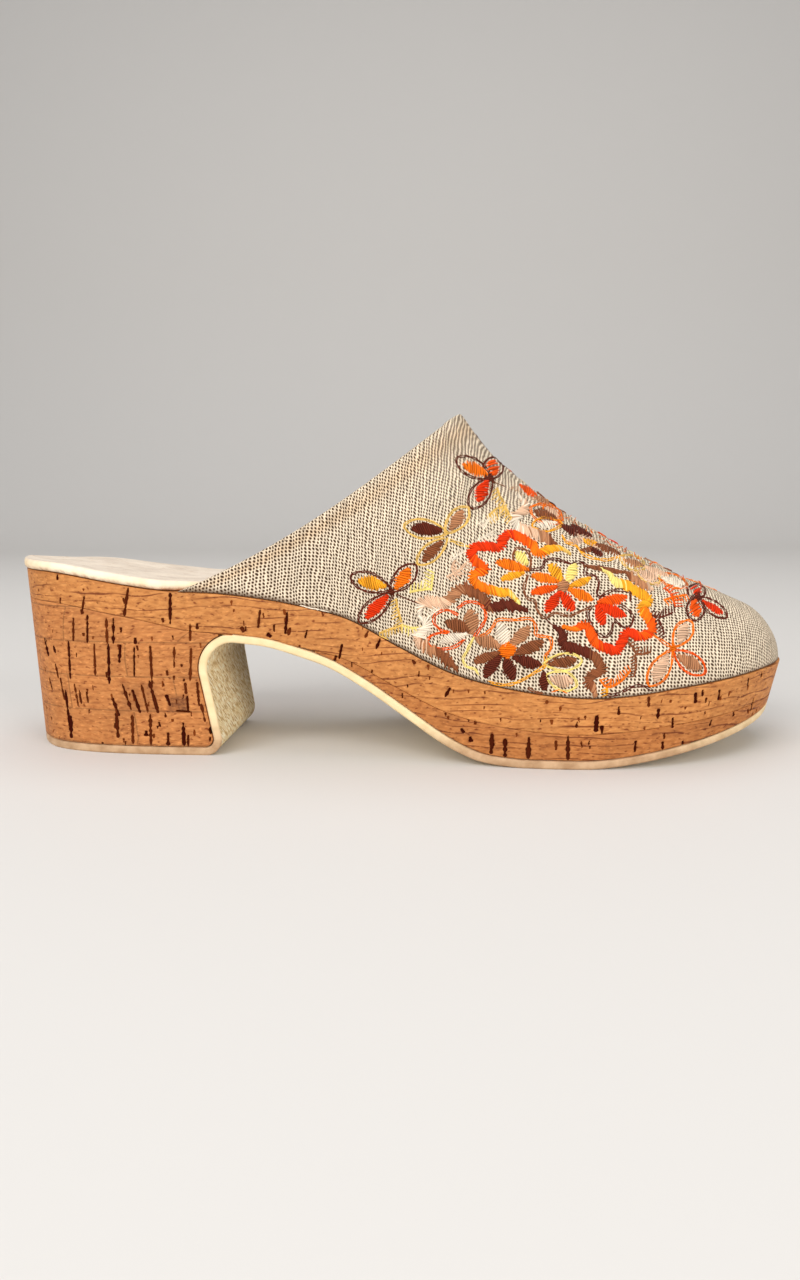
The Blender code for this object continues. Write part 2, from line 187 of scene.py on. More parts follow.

# Embroidery chart in pixels of the photograph, read one by one. Petal: a satin-stitched leaf from base
# to tip, half its width, and the colour of its running outline with how far that passes the tip.
PETAL_COLUMNS = "base_x base_y tip_x tip_y half fill outline reach"
Petal = namedtuple("Petal", PETAL_COLUMNS, defaults=("", 0))
PETALS = [Petal(*row) for row in (
    (487, 476, 464, 463, 6.0, "orange", "dark", 9), (490, 475, 496, 461, 7.0, "flame", "dark", 4),
    (489, 481, 476, 500, 6.5, "red", "dark", 10), (442, 532, 412, 527, 6.5, "dark", "gold", 8),
    (449, 529, 464, 512, 6.0, "tan", "gold", 6), (443, 542, 422, 560, 5.5, "brown", "gold", 6),
    (386, 588, 359, 579, 6.5, "amber", "dark", 9), (394, 588, 411, 570, 6.5, "orange", "dark", 7),
    (389, 596, 365, 617, 6.0, "red", "dark", 8), (677, 642, 688, 625, 6.0, "blush", "orange", 5),
    (669, 655, 653, 680, 6.5, "blush", "orange", 7), (678, 654, 700, 670, 6.5, "tan", "flame", 6),
    (696, 600, 695, 616, 6.0, "flame", "dark", 5), (702, 600, 722, 614, 3.5, "red", "dark", 6),
    (696, 595, 697, 586, 6.0, "red", "dark", 2), (526, 566, 518, 551, 5.5, "pale", "brown", 3),
    (526, 570, 497, 561, 5.5, "orange"), (522, 574, 501, 578, 4.0, "amber"),
    (556, 582, 532, 574, 5.0, "orange"), (559, 579, 551, 564, 6.0, "amber"),
    (567, 579, 577, 565, 6.0, "pale"), (572, 585, 591, 579, 4.0, "amber"),
    (571, 589, 592, 601, 5.5, "orange"), (564, 594, 572, 611, 6.0, "red"),
    (560, 594, 545, 611, 5.5, "red"), (555, 588, 531, 592, 4.5, "flame"),
    (600, 601, 627, 598, 5.5, "flame"), (601, 605, 625, 617, 5.5, "red"),
    (599, 607, 602, 625, 5.5, "red"), (470, 631, 473, 610, 8.0, "tan"),
    (467, 631, 447, 620, 7.0, "brown"), (465, 635, 440, 641, 4.5, "cream"),
    (504, 644, 501, 622, 7.0, "cream"), (511, 644, 531, 628, 6.0, "tan"),
    (517, 652, 544, 643, 6.0, "brown"), (516, 657, 540, 667, 6.0, "dark"),
    (508, 659, 511, 680, 7.0, "dark"), (500, 658, 483, 676, 6.0, "dark"),
    (498, 654, 474, 661, 5.0, "brown"), (497, 647, 477, 636, 7.0, "tan"),
    (549, 663, 576, 661, 5.5, "brown", "pale", 6), (545, 675, 542, 690, 5.0, "dark"),
    (551, 677, 572, 684, 6.5, "blush", "pale", 5), (556, 520, 535, 510, 5.5, "brown", "orange", 5),
    (558, 517, 546, 507, 3.5, "blush", "orange", 3), (557, 524, 536, 525, 4.0, "cream", "amber", 4),
    (564, 526, 579, 535, 4.5, "dark"), (574, 526, 591, 537, 3.5, "dark"),
    (570, 541, 584, 541, 3.5, "blush"), (585, 540, 596, 545, 3.5, "amber"),
    (583, 550, 592, 550, 3.5, "brown"), (592, 548, 602, 556, 3.5, "dark"),
    (598, 545, 619, 555, 4.0, "brown"), (586, 566, 624, 573, 3.0, "brown"),
    (624, 559, 642, 567, 4.0, "tan", "gold", 3), (640, 570, 656, 580, 4.5, "blush", "gold", 4),
    (646, 567, 668, 577, 3.5, "blush"), (662, 577, 684, 585, 3.5, "cream", "orange", 3),
    (522, 486, 536, 497, 3.5, "flame"), (536, 497, 548, 504, 3.5, "tan"),
)]

# Satin bands: widest half width, how uneven its edges are, colours from start to end, and the middle line
Band = namedtuple("Band", "half ragged colours line")
BANDS = [
    Band(4.7, 0.14,
         ["gold", "amber", "orange", "flame", "red", "red", "red", "flame", "orange", "orange",
          "amber", "pale"],
         [(569, 553), (560, 548), (549, 549), (539, 553), (532, 545), (522, 538), (508, 534), (503, 540),
          (499, 547), (488, 546), (475, 548), (472, 555), (476, 562), (485, 569), (474, 575), (475, 582),
          (484, 588), (500, 592), (509, 593), (519, 603)]),
    Band(4.7, 0.14,
         ["pale", "pale", "amber", "amber", "orange", "flame", "red", "red", "red", "flame", "flame",
          "orange"],
         [(602, 570), (609, 574), (614, 581), (627, 586), (639, 593), (649, 600), (642, 608), (648, 617),
          (652, 630), (641, 636), (627, 633), (623, 640), (618, 649), (609, 649), (596, 643), (591, 633),
          (585, 626), (574, 629), (564, 627)]),
    Band(5.0, 0.16, ["dark", "dark", "dark", "dark", "brown", "brown", "brown", "tan"],
         [(555, 627), (562, 634), (564, 645), (575, 649), (586, 652), (595, 658), (601, 669), (592, 676),
          (589, 682), (594, 689), (595, 695)]),
    Band(4.8, 0.3, ["cream", "blush", "blush", "tan", "brown", "brown", "dark", "dark", "dark"],
         [(419, 616), (422, 605), (432, 602), (443, 603), (451, 599), (457, 591), (466, 589), (477, 594),
          (485, 600), (489, 608), (501, 605), (519, 607), (526, 610)]),
    Band(4.8, 0.35, ["cream", "cream", "blush", "tan", "brown", "brown"],
         [(420, 617), (426, 625), (421, 634), (417, 639), (427, 647), (441, 654), (448, 660), (456, 668)]),
    Band(4.4, 0.35, ["cream", "blush", "cream", "blush", "tan", "brown"],
         [(519, 497), (525, 506), (518, 515), (515, 522), (523, 530), (538, 534), (550, 540), (556, 544)]),
    Band(3.2, 0.3, ["brown", "tan", "tan", "blush"], [(626, 573), (633, 578), (640, 583), (652, 589)]),
]

# Running-stitch lines: colour, whether it is doubled, and the line
Line = namedtuple("Line", "colour doubled points")
LINES = [
    Line("dark", True, [(529, 570), (542, 568), (545, 561), (555, 559), (572, 564), (579, 562), (586, 566),
                         (585, 574), (595, 576), (599, 584), (597, 593), (600, 599)]),
    Line("brown", True, [(528, 575), (524, 589), (527, 598), (535, 601), (537, 610), (545, 618), (555, 613),
                          (569, 616), (581, 611), (592, 607)]),
    Line("dark", False, [(545, 618), (550, 623), (557, 628)]),
    Line("dark", True, [(599, 598), (608, 592), (620, 590), (630, 593), (630, 601)]),
    Line("dark", True, [(620, 605), (628, 610), (633, 618), (630, 626), (623, 627), (614, 619)]),
    Line("dark", True, [(613, 622), (611, 632), (605, 637), (595, 631), (590, 622), (588, 612), (592, 606)]),
    Line("flame", True, [(458, 608), (467, 602), (481, 605), (486, 617), (479, 630), (474, 637)]),
    Line("flame", True, [(458, 615), (447, 610), (436, 614), (434, 622), (441, 630), (449, 632)]),
    Line("flame", True, [(449, 632), (435, 634), (428, 639), (430, 646), (443, 649), (456, 646), (466, 638)]),
    Line("orange", True, [(478, 637), (487, 633), (494, 625), (497, 620), (514, 620), (531, 619), (536, 628),
                           (536, 635), (550, 638), (551, 648), (545, 656)]),
    Line("amber", True, [(545, 656), (546, 664), (534, 673), (518, 682), (505, 685), (488, 682)]),
    Line("pale", True, [(474, 637), (467, 651), (463, 659), (466, 666), (476, 670), (478, 677)]),
    Line("brown", False, [(546, 664), (553, 659), (564, 654)]),
    Line("dark", False, [(396, 594), (407, 599), (419, 604)]),
    Line("gold", True, [(450, 540), (460, 544), (470, 547)]),
    Line("brown", False, [(491, 481), (498, 484), (506, 487)]),
    Line("orange", True, [(652, 634), (662, 641), (671, 647)]),
    Line("amber", True, [(562, 535), (566, 542), (576, 546), (583, 554), (596, 559), (608, 560), (622, 557),
                         (627, 568)]),
    Line("cream", True, [(296, 606), (305, 609), (318, 611)]),
    Line("orange", False, [(533, 506), (540, 503), (552, 507), (560, 516)]),
    Line("dark", True, [(622, 692), (632, 687), (643, 686), (652, 690)]),
    Line("brown", True, [(528, 688), (536, 692), (545, 694)]),
    Line("orange", False, [(552, 692), (560, 690), (568, 694)]),
    Line("dark", True, [(604, 694), (612, 695), (622, 693)]),
]

# Ladder and fern stitches: colour, rung length (its sign gives the side) and the line
Fern = namedtuple("Fern", "colour rung points")
FERNS = [
    Fern("gold", -8, [(396, 599), (398, 610), (402, 624)]),
    Fern("gold", 7, [(402, 625), (391, 629), (380, 633)]),
    Fern("pale", -8, [(402, 625), (412, 628), (421, 627)]),
    Fern("pale", 8, [(410, 592), (420, 590), (430, 589)]),
    Fern("pale", 9, [(431, 590), (432, 582), (433, 573)]),
    Fern("gold", -8, [(497, 488), (500, 497), (506, 505)]),
    Fern("gold", 9, [(506, 506), (496, 509), (488, 517)]),
    Fern("gold", -7, [(506, 508), (509, 515), (511, 518)]),
    Fern("cream", 8, [(484, 528), (487, 522), (494, 519)]),
    Fern("blush", -8, [(447, 577), (458, 571), (467, 562)]),
    Fern("cream", 7, [(452, 561), (458, 555), (465, 551)]),
    Fern("brown", 8, [(627, 641), (633, 648), (636, 654)]),
    Fern("brown", 8, [(636, 654), (643, 654), (650, 652)]),
    Fern("brown", -6, [(635, 655), (636, 665), (634, 676)]),
    Fern("dark", 8, [(650, 615), (661, 617), (674, 612)]),
    Fern("dark", -7, [(658, 619), (662, 627), (665, 636)]),
    Fern("flame", 8, [(664, 588), (671, 594), (675, 606)]),
    Fern("orange", -7, [(664, 600), (674, 597), (686, 595)]),
    Fern("orange", 8, [(600, 680), (607, 687), (620, 682), (630, 671)]),
    Fern("amber", -7, [(607, 688), (607, 694)]),
    Fern("cream", -7, [(446, 604), (438, 610), (430, 616)]),
    Fern("blush", 7, [(455, 560), (452, 568), (455, 575)]),
    Fern("cream", -7, [(478, 540), (486, 536), (494, 531)]),
    Fern("blush", 7, [(574, 533), (586, 541), (598, 549)]),
    Fern("cream", -6, [(604, 547), (618, 556), (632, 564)]),
    Fern("blush", 7, [(632, 571), (646, 580), (658, 586)]),
    Fern("cream", 6, [(654, 574), (668, 582), (682, 589)]),
]

# Thread ends that stand away from the cloth by a height in millimetres, and lines of fine hairs
Loose = namedtuple("Loose", "colour height points")
LOOSE_ENDS = [
    Loose("red", 2.2, [(700, 590), (703, 585), (708, 578)]),
    Loose("orange", 1.8, [(573, 524), (574, 520), (575, 516)]),
    Loose("flame", 1.4, [(690, 590), (680, 589), (672, 594)]),
]
FUZZ = [
    Loose("blush", 1.2, [(510, 487), (540, 504), (575, 524)]),
    Loose("orange", 1.2, [(540, 504), (600, 538), (660, 570)]),
    Loose("cream", 1.0, [(600, 540), (640, 560), (690, 588)]),
    Loose("cream", 0.9, [(230, 575), (300, 530), (380, 478), (450, 425)]),
]

# Satin discs in the flowers' middles
Disc = namedtuple("Disc", "x y wide tall fill")
DISCS = [
    Disc(507.5, 651, 9, 7.5, "orange"),
    Disc(563, 587, 7, 5.5, "tan"),
    Disc(391, 592, 3.5, 3, "dark"),
    Disc(489.5, 479, 3, 3, "dark"),
    Disc(697.5, 597.5, 3, 2.5, "dark"),
    Disc(673, 648.5, 3.5, 3, "orange"),
]

# Guessed embroidery over the ridge, where the photograph doesn't look. Its chart is a plan, PLAN_SCALE to
# a millimetre: along the foot from the heel, and across from the ridge towards the inner side.
# Flower: middle, number of petals, their length and half width, first petal's angle, fills, outline, heart
PLAN_SCALE = 3.2
Flower = namedtuple("Flower", "x y petals reach half angle fills outline heart")
RIDGE_FLOWERS = [
    Flower(506, 22, 3, 20, 5.5, 90, ["orange", "red", "flame"], "dark", "dark"),
    Flower(560, 20, 8, 23, 5.0, 20, ["tan", "brown", "dark", "brown"], "", "amber"),
    Flower(622, 22, 7, 23, 5.0, 0, ["amber", "flame", "red", "orange"], "", "tan"),
    Flower(678, 20, 8, 21, 4.5, 10, ["cream", "tan", "blush", "brown"], "", "orange"),
    Flower(726, 18, 3, 18, 5.0, 0, ["blush", "tan", "blush"], "orange", "orange"),
]
RIDGE_LINES = [
    Line("brown", True, [(520, 44), (540, 38), (560, 47), (590, 42), (622, 49), (650, 42), (678, 46),
                         (706, 36)]),
]
RIDGE_FERNS = [
    Fern("gold", 8, [(530, 6), (533, 20), (530, 36)]),
    Fern("cream", -8, [(590, 4), (592, 20), (590, 38)]),
    Fern("pale", 8, [(648, 6), (650, 22), (648, 38)]),
    Fern("brown", -7, [(702, 6), (704, 16), (702, 30)]),
]

# Dark strokes in the cork's side, in pixels of the photograph: place, top, bottom, slant and width
Stroke = namedtuple("Stroke", "x top bottom slant width")
STROKES = [Stroke(*row) for row in (
    (101, 582, 603, -4, 4.5), (128, 588, 616, -4, 2.5), (170, 593, 624, 0, 3.0), (84, 596, 610, -2, 1.8),
    (57, 575, 580, 0, 3.0), (73, 618, 641, 0, 2.4), (87, 615, 643, 0, 2.0), (106, 618, 644, 1, 2.6),
    (113, 618, 644, 0, 2.6), (135, 638, 644, 0, 3.0), (164, 626, 645, -1, 3.4), (177, 629, 645, -1, 2.0),
    (190, 624, 641, 0, 2.0), (197, 624, 629, 0, 2.6), (44, 638, 656, 4, 4.0), (53, 646, 653, 2, 2.6),
    (68, 641, 679, 2, 2.6), (94, 644, 676, 1, 2.2), (108, 644, 684, 1, 2.8), (120, 645, 663, -1, 3.0),
    (150, 646, 684, 2, 2.8), (191, 648, 681, -1, 2.4), (55, 664, 678, 3, 2.4), (60, 678, 700, 4, 2.2),
    (65, 690, 732, 5, 3.0), (74, 684, 706, 4, 2.2), (112, 698, 716, 7, 3.0), (122, 684, 710, 9, 3.0),
    (132, 690, 713, 8, 2.8), (141, 684, 713, 7, 2.4), (149, 681, 713, 9, 3.2), (187, 696, 712, 1, 2.2),
    (116, 713, 738, 2, 3.4), (132, 715, 747, 1, 3.0), (150, 714, 747, 1, 3.0), (168, 733, 747, 0, 3.0),
    (183, 723, 747, 1, 3.4), (188, 735, 747, 0, 2.2), (70, 716, 738, 1, 4.5), (201, 704, 722, 4, 2.4),
    (166, 695, 706, 4, 3.4), (176, 711, 712, 14, 1.6), (210, 728, 744, 3, 2.6), (146, 731, 736, 0, 3.6),
    (134, 647, 677, 0, 1.4), (174, 647, 668, 0, 2.0), (197, 682, 706, 2, 2.6), (185, 683, 694, 1, 3.0),
    (86, 692, 703, 2, 1.6), (79, 690, 704, 2, 1.8), (49, 678, 690, 3, 2.2), (260, 610, 628, -2, 2.2),
    (287, 612, 634, -2, 2.4), (290, 628, 635, -2, 2.6), (274, 625, 632, 0, 1.4), (241, 627, 632, 3, 3.0),
    (307, 630, 638, -2, 1.6), (342, 644, 659, -3, 2.0), (336, 656, 662, -2, 2.4),
    (368, 631, 638, -3, 2.2), (380, 639, 649, -4, 2.2), (395, 645, 652, -3, 2.6), (267, 634, 637, 4, 3.0),
    (412, 660, 664, 3, 2.4), (450, 688, 697, -5, 2.4), (466, 676, 682, -1, 3.4), (461, 729, 733, 3, 5.0),
    (470, 737, 742, 1, 4.5), (492, 734, 754, -1, 4.0), (505, 739, 757, 0, 4.0), (529, 737, 760, -1, 4.4),
    (568, 735, 760, 0, 3.2), (556, 741, 750, 0, 2.4), (597, 716, 732, -1, 5.0), (602, 726, 734, 0, 3.4),
    (619, 707, 715, 0, 2.6), (649, 697, 707, 0, 3.2), (659, 709, 719, -1, 3.2), (636, 741, 752, -1, 2.2),
    (663, 742, 750, 0, 2.6), (673, 718, 728, 0, 2.4), (683, 741, 745, 0, 2.6), (696, 693, 703, 0, 3.4),
    (703, 690, 696, 0, 2.6), (720, 690, 700, -1, 3.0), (712, 720, 726, -2, 2.4), (754, 698, 711, -3, 2.8),
    (749, 678, 686, -1, 2.2), (762, 672, 677, 0, 2.2), (734, 712, 716, 0, 2.4),
)]

# Brown patches in the cork's side, in pixels of the photograph: middle, half sizes and depth of tone
Stain = namedtuple("Stain", "x y half_wide half_tall tone")
STAINS = [
    Stain(140, 698, 19, 15, 0.45),
    Stain(178, 704, 9, 8, 1.0),
]


def smooth(knots, values, at):
    """Cubic curve through the knots, with each knot's slope taken from its two neighbours."""
    knots = np.asarray(knots, float)
    values = np.asarray(values, float)
    at = np.clip(np.asarray(at, float), knots[0], knots[-1])
    padded_knots = np.concatenate([knots[:1], knots, knots[-1:]])
    padded_values = np.concatenate([values[:1], values, values[-1:]])
    slopes = (padded_values[2:] - padded_values[:-2]) / (padded_knots[2:] - padded_knots[:-2])
    left = np.clip(np.searchsorted(knots, at, side="left") - 1, 0, len(knots) - 2)
    width = knots[left + 1] - knots[left]
    share = (at - knots[left]) / width
    rise = share * share * (3.0 - 2.0 * share)
    start_bend = share * (1.0 - share) ** 2 * width * slopes[left]
    end_bend = share * share * (share - 1.0) * width * slopes[left + 1]
    return values[left] + rise * (values[left + 1] - values[left]) + start_bend + end_bend


def unit(vectors):
    return vectors / np.maximum(np.linalg.norm(vectors, axis=-1, keepdims=True), 1e-12)


def run_along(points):
    """Length along a line of points, at each of them."""
    steps = np.linalg.norm(np.diff(points, axis=0), axis=-1)
    return np.concatenate([[0.0], np.cumsum(steps)])


def turn_of(share):
    return np.arccos(1.0 - 2.0 * np.clip(share, 0.0, 1.0)) / math.pi


def share_of(turn):
    return 0.5 * (1.0 - np.cos(math.pi * np.asarray(turn)))


def column(rows, name, station, round_ends=False):
    """Value of one table column at stations in millimetres."""
    share = np.asarray(station, float) / LENGTH
    knots = np.array([row.station for row in rows])
    if round_ends:
        knots = turn_of(knots)
        share = turn_of(share)
    return smooth(knots, [getattr(row, name) for row in rows], share)


def edges(station):
    """Lateral and medial y of the sole's outline at the feather line."""
    lateral = column(OUTLINE, "lateral", station, round_ends=True) * BALL_WIDTH
    medial = column(OUTLINE, "medial", station, round_ends=True) * BALL_WIDTH
    return lateral, medial


def feather(station):
    return column(FEATHER, "height", station) * HEEL_HEIGHT


def lean(station):
    share = np.asarray(station) / LENGTH
    return HEEL_RAKE * (1.0 - share) - TOE_RAKE * share


def drafted_edges(station, down):
    """Lateral and medial y of the side wall below a feather station, a share of the way to the floor."""
    lateral, medial = edges(station)
    lateral = lateral + column(OUTLINE, "lateral_draft", station) * down
    return lateral, medial - column(OUTLINE, "medial_draft", station) * down


def wall_point(side, station, z):
    """Point of the sole's side wall on the line that starts at a feather station, at a height."""
    station = np.asarray(station, float)
    down = 1.0 - z / feather(station)
    lateral, medial = drafted_edges(station, down)
    y = np.where(np.asarray(side) < 0, lateral, medial)
    return np.stack(np.broadcast_arrays(station + down * lean(station), y, z), axis=-1)


def wall_edges(x, z):
    """Lateral and medial y of the side wall at a place along the foot and a height."""
    rounds = 6
    station = np.asarray(x, float)
    for _ in range(rounds):
        down = 1.0 - z / feather(np.clip(station, 0.0, LENGTH))
        station = x - down * lean(station)
    return drafted_edges(np.clip(station, 0.0, LENGTH), down)


def tread_curve(x):
    """Height of the cork's underside from the crown of the arch to the toe."""
    x = np.asarray(x, float)
    arch = np.maximum(column(ARCH, "height", x) * ARCH_CROWN, CORK_FLOOR)
    spring = np.clip((x - TREAD_FRONT) / (LENGTH - TREAD_FRONT), 0.0, None)
    front = CORK_FLOOR + TOE_SPRING * spring**TOE_SPRING_POWER
    return np.where(x < TREAD_BACK, arch, front)


def board_underside(station):
    plain = feather(station) - column(BOARD, "thick", station)
    crown = HEEL_FRONT - BREAST_LEAN + ARCH_CORNER_RADIUS
    return np.where(np.asarray(station) < crown, plain, np.maximum(plain, tread_curve(station)))


def arc(centre, radius, start, end, steps):
    angles = np.radians(np.linspace(start, end, steps + 1))
    return np.stack([centre[0] + radius * np.cos(angles), centre[1] + radius * np.sin(angles)], axis=-1)


def breast_path(out, steps):
    """Side view from the heel's front lower corner up the breast to the arch crown, out from the cork."""
    lean_angle = math.degrees(math.atan2(BREAST_LEAN, ARCH_CROWN))
    corner = (HEEL_FRONT - HEEL_CORNER_RADIUS, CORK_FLOOR + HEEL_CORNER_RADIUS)
    lower = arc(corner, HEEL_CORNER_RADIUS + out, -90.0, lean_angle, steps)
    crown = (HEEL_FRONT - BREAST_LEAN + ARCH_CORNER_RADIUS, ARCH_CROWN - ARCH_CORNER_RADIUS)
    upper = arc(crown, ARCH_CORNER_RADIUS - out, 180.0 + lean_angle, 90.0, 2 * steps)
    straight = lower[-1] + (upper[0] - lower[-1]) * np.linspace(0.0, 1.0, 2 * steps)[1:-1, None]
    return np.concatenate([lower, straight, upper])


def upper_frame(station):
    """Ridge place, reach to each side and heights of the upper's section at a station."""
    share = np.minimum(np.asarray(station, float) / UPPER_TOE, 1.0)
    lateral, medial = edges(LENGTH * share)
    middle = column(RIDGE, "side", LENGTH * share) * BALL_WIDTH
    base = feather(station) + GAP
    top = column(RIDGE, "height", LENGTH * share, round_ends=True) * INSTEP_HEIGHT
    fullness = TOE_FULLNESS * np.clip((share - TOE_FULL_FROM) / (1.0 - TOE_FULL_FROM), 0.0, 1.0)
    reaches = []
    for reach in (middle - lateral, medial - middle):
        reaches.append(reach - UPPER_SET_IN * np.minimum(reach / SET_IN_REACH, 1.0))
    return middle, reaches[0], reaches[1], base, np.maximum(top - base, 0.0), 2.0 / (ROUND_SECTION + fullness)


def upper_point(station, turn):
    """Outer face of the upper. Turn runs from 0 at the lateral feather line to 1 at the medial one."""
    station, turn = np.broadcast_arrays(np.asarray(station, float), np.asarray(turn, float))
    middle, lateral, medial, base, rise, power = upper_frame(station)
    across = np.cos(math.pi * turn)
    up = np.clip(np.sin(math.pi * turn), 0.0, 1.0)
    reach = np.where(across > 0.0, lateral, medial)
    y = middle - np.sign(across) * reach * np.abs(across) ** power
    return np.stack([station, y, base + rise * up**power], axis=-1)


def upper_turn(point):
    """Turn of a point on the upper's outer face, the inverse of upper_point."""
    middle, lateral, medial, base, rise, power = upper_frame(point[..., 0])
    side = middle - point[..., 1]
    reach = np.maximum(np.where(side > 0.0, lateral, medial), 1e-6)
    across = np.sign(side) * np.minimum(np.abs(side) / reach, 1.0) ** (1.0 / power)
    up = np.clip((point[..., 2] - base) / np.maximum(rise, 1e-6), 0.0, 1.0) ** (1.0 / power)
    return np.arctan2(up, across) / math.pi


def upper_normal(station, turn):
    """Outward direction of the upper's outer face."""
    step = 2e-3
    toe_margin = 0.01
    station, turn = np.broadcast_arrays(np.asarray(station, float), np.asarray(turn, float))
    inside = np.minimum(station, UPPER_TOE - 2.0 * toe_margin)
    along = upper_point(inside + step, turn) - upper_point(inside - step, turn)
    after = upper_point(inside, np.minimum(turn + step, 1.0))
    before = upper_point(inside, np.maximum(turn - step, 0.0))
    at_toe = (station > UPPER_TOE - toe_margin)[..., None]
    return np.where(at_toe, np.array((1.0, 0.0, 0.0)), unit(np.cross(along, after - before)))


def topline(station):
    low = feather(UPPER_BACK) + GAP + UPPER_BACK_RISE
    share = np.minimum((station - UPPER_BACK) / (THROAT_STATION - UPPER_BACK), 1.0)
    return low + (INSTEP_HEIGHT - low) * share - 4.0 * TOPLINE_SAG * share * (1.0 - share)


def topline_station(turn):
    """Station of the topline at a turn, found by halving."""
    halvings = 40
    low = np.full_like(turn, UPPER_TIP)
    high = np.full_like(turn, THROAT_STATION)
    for _ in range(halvings):
        middle = 0.5 * (low + high)
        above = upper_point(middle, turn)[..., 2] > topline(middle)
        low = np.where(above, middle, low)
        high = np.where(above, high, middle)
    return high


def girth(station, turn):
    """Length along the section from the ridge, lateral side negative."""
    steps = np.linspace(0.0, 1.0, 25)
    total = np.zeros(np.broadcast(station, turn).shape)
    before = upper_point(station, np.full_like(total, 0.5))
    for step in steps[1:]:
        after = upper_point(station, 0.5 + (turn - 0.5) * step)
        total += np.linalg.norm(after - before, axis=-1)
        before = after
    return total * np.sign(np.asarray(turn) - 0.5)


# Middle of the shoe's box, where the frame's origin lies
ALL_SIDES = edges(LENGTH * share_of(np.linspace(0.0, 1.0, 73)))
MIDDLE = np.array((0.5 * (LENGTH - INSOLE_OVERHANG), 0.5 * (ALL_SIDES[0].min() + ALL_SIDES[1].max()), 0.0))


def camera_axes():
    """Right, up and forward directions of the camera."""
    pitch, yaw, roll = (math.radians(angle) for angle in (PITCH_DOWN, YAW, ROLL))
    forward = np.array((math.sin(yaw) * math.cos(pitch), math.cos(yaw) * math.cos(pitch), -math.sin(pitch)))
    level = np.array((math.cos(yaw), -math.sin(yaw), 0.0))
    above = np.cross(level, forward)
    right = math.cos(roll) * level + math.sin(roll) * above
    return right, np.cross(right, forward), forward


def make_camera():
    right, above, forward = camera_axes()
    data = bpy.data.cameras.new("photo_camera")
    data.sensor_width = SENSOR
    data.lens = SENSOR * FOCAL_PIXELS / FRAME_HEIGHT
    data.clip_start = 0.01
    camera = bpy.data.objects.new("photo_camera", data)
    place = (EYE - MIDDLE) * MM
    turned = Matrix((right, above, -forward)).transposed().to_4x4()
    camera.matrix_world = Matrix.Translation(Vector(place)) @ turned
    bpy.context.scene.collection.objects.link(camera)
    bpy.context.scene.camera = camera


def pixel_rays(pixels):
    """Directions from the camera through pixels of the photograph."""
    right, above, forward = camera_axes()
    pixels = np.asarray(pixels, float)
    side = (pixels[..., 0:1] - 0.5 * FRAME_WIDTH) * right
    up = (0.5 * FRAME_HEIGHT - pixels[..., 1:2]) * above
    return forward * FOCAL_PIXELS + side + up


def to_pixels(points):
    """Pixels of the photograph at which points are seen."""
    right, above, forward = camera_axes()
    away = points - EYE
    scale = FOCAL_PIXELS / (away @ forward)
    x = 0.5 * FRAME_WIDTH + scale * (away @ right)
    return np.stack([x, 0.5 * FRAME_HEIGHT - scale * (away @ above)], axis=-1)


def screen(red, green, blue):
    """Linear colour of a colour as it looks on screen, 0 to 255."""
    values = []
    for value in (red, green, blue):
        value /= 255.0
        values.append(value / 12.92 if value <= 0.04045 else ((value + 0.055) / 1.055) ** 2.4)
    return (*values, 1.0)


class Finish:
    """A material's node tree, with short calls for its nodes."""

    def __init__(self, name, roughness, specular):
        self.material = bpy.data.materials.new(name)
        self.material.use_nodes = True
        self.tree = self.material.node_tree
        self.shader = self.tree.nodes["Principled BSDF"]
        self.shader.inputs["Roughness"].default_value = roughness
        self.shader.inputs["Specular IOR Level"].default_value = specular

    def set(self, node, name, value):
        socket = node.inputs[name]
        if isinstance(value, bpy.types.NodeSocket):
            self.tree.links.new(value, socket)
        else:
            socket.default_value = value

    def node(self, kind, inputs=None, output=0, **settings):
        made = self.tree.nodes.new(kind)
        for name, value in settings.items():
            setattr(made, name, value)
        for name, value in (inputs or {}).items():
            self.set(made, name, value)
        return made.outputs[output]

    def math(self, operation, first, second=0.0, third=0.0):
        return self.node("ShaderNodeMath", {0: first, 1: second, 2: third}, operation=operation)

    def times(self, first, second, plus=0.0):
        return self.math("MULTIPLY_ADD", first, second, plus)

    def coordinates(self, u_scale, v_scale, shift=(0.0, 0.0)):
        """The piece's UV in millimetres, stretched and shifted."""
        uv = self.node("ShaderNodeUVMap", uv_map="UVMap")
        inputs = {"Vector": uv, "Location": (*shift, 0.0), "Scale": (u_scale, v_scale, 1.0)}
        return self.node("ShaderNodeMapping", inputs)

    def axis(self, vector, number):
        return self.node("ShaderNodeSeparateXYZ", {"Vector": vector}, output=number)

    def noise(self, vector, detail=3.0, rough=0.55):
        inputs = {"Vector": vector, "Scale": 1.0, "Detail": detail, "Roughness": rough}
        return self.node("ShaderNodeTexNoise", inputs)

    def ramp(self, factor, *stops):
        made = self.tree.nodes.new("ShaderNodeValToRGB")
        elements = made.color_ramp.elements
        while len(elements) < len(stops):
            elements.new(0.5)
        for element, (place, colour) in zip(elements, stops):
            element.position = place
            element.color = colour
        self.set(made, "Fac", factor)
        return made.outputs["Color"]

    def mix(self, factor, first, second, blend="MIX"):
        inputs = {0: factor, 6: first, 7: second}
        return self.node("ShaderNodeMix", inputs, output=2, data_type="RGBA", blend_type=blend)

    def shade(self, colour, by, strength=1.0):
        """Colour multiplied by another one."""
        return self.mix(strength, colour, by, "MULTIPLY")

    def attribute(self, name):
        return self.node("ShaderNodeAttribute", output=2, attribute_name=name)

    def paint(self, colour):
        self.set(self.shader, "Base Color", colour)

    def bump(self, height, strength, distance):
        inputs = {"Height": height, "Strength": strength, "Distance": distance}
        self.set(self.shader, "Normal", self.node("ShaderNodeBump", inputs))


def grey(value):
    return (value, value, value, 1.0)


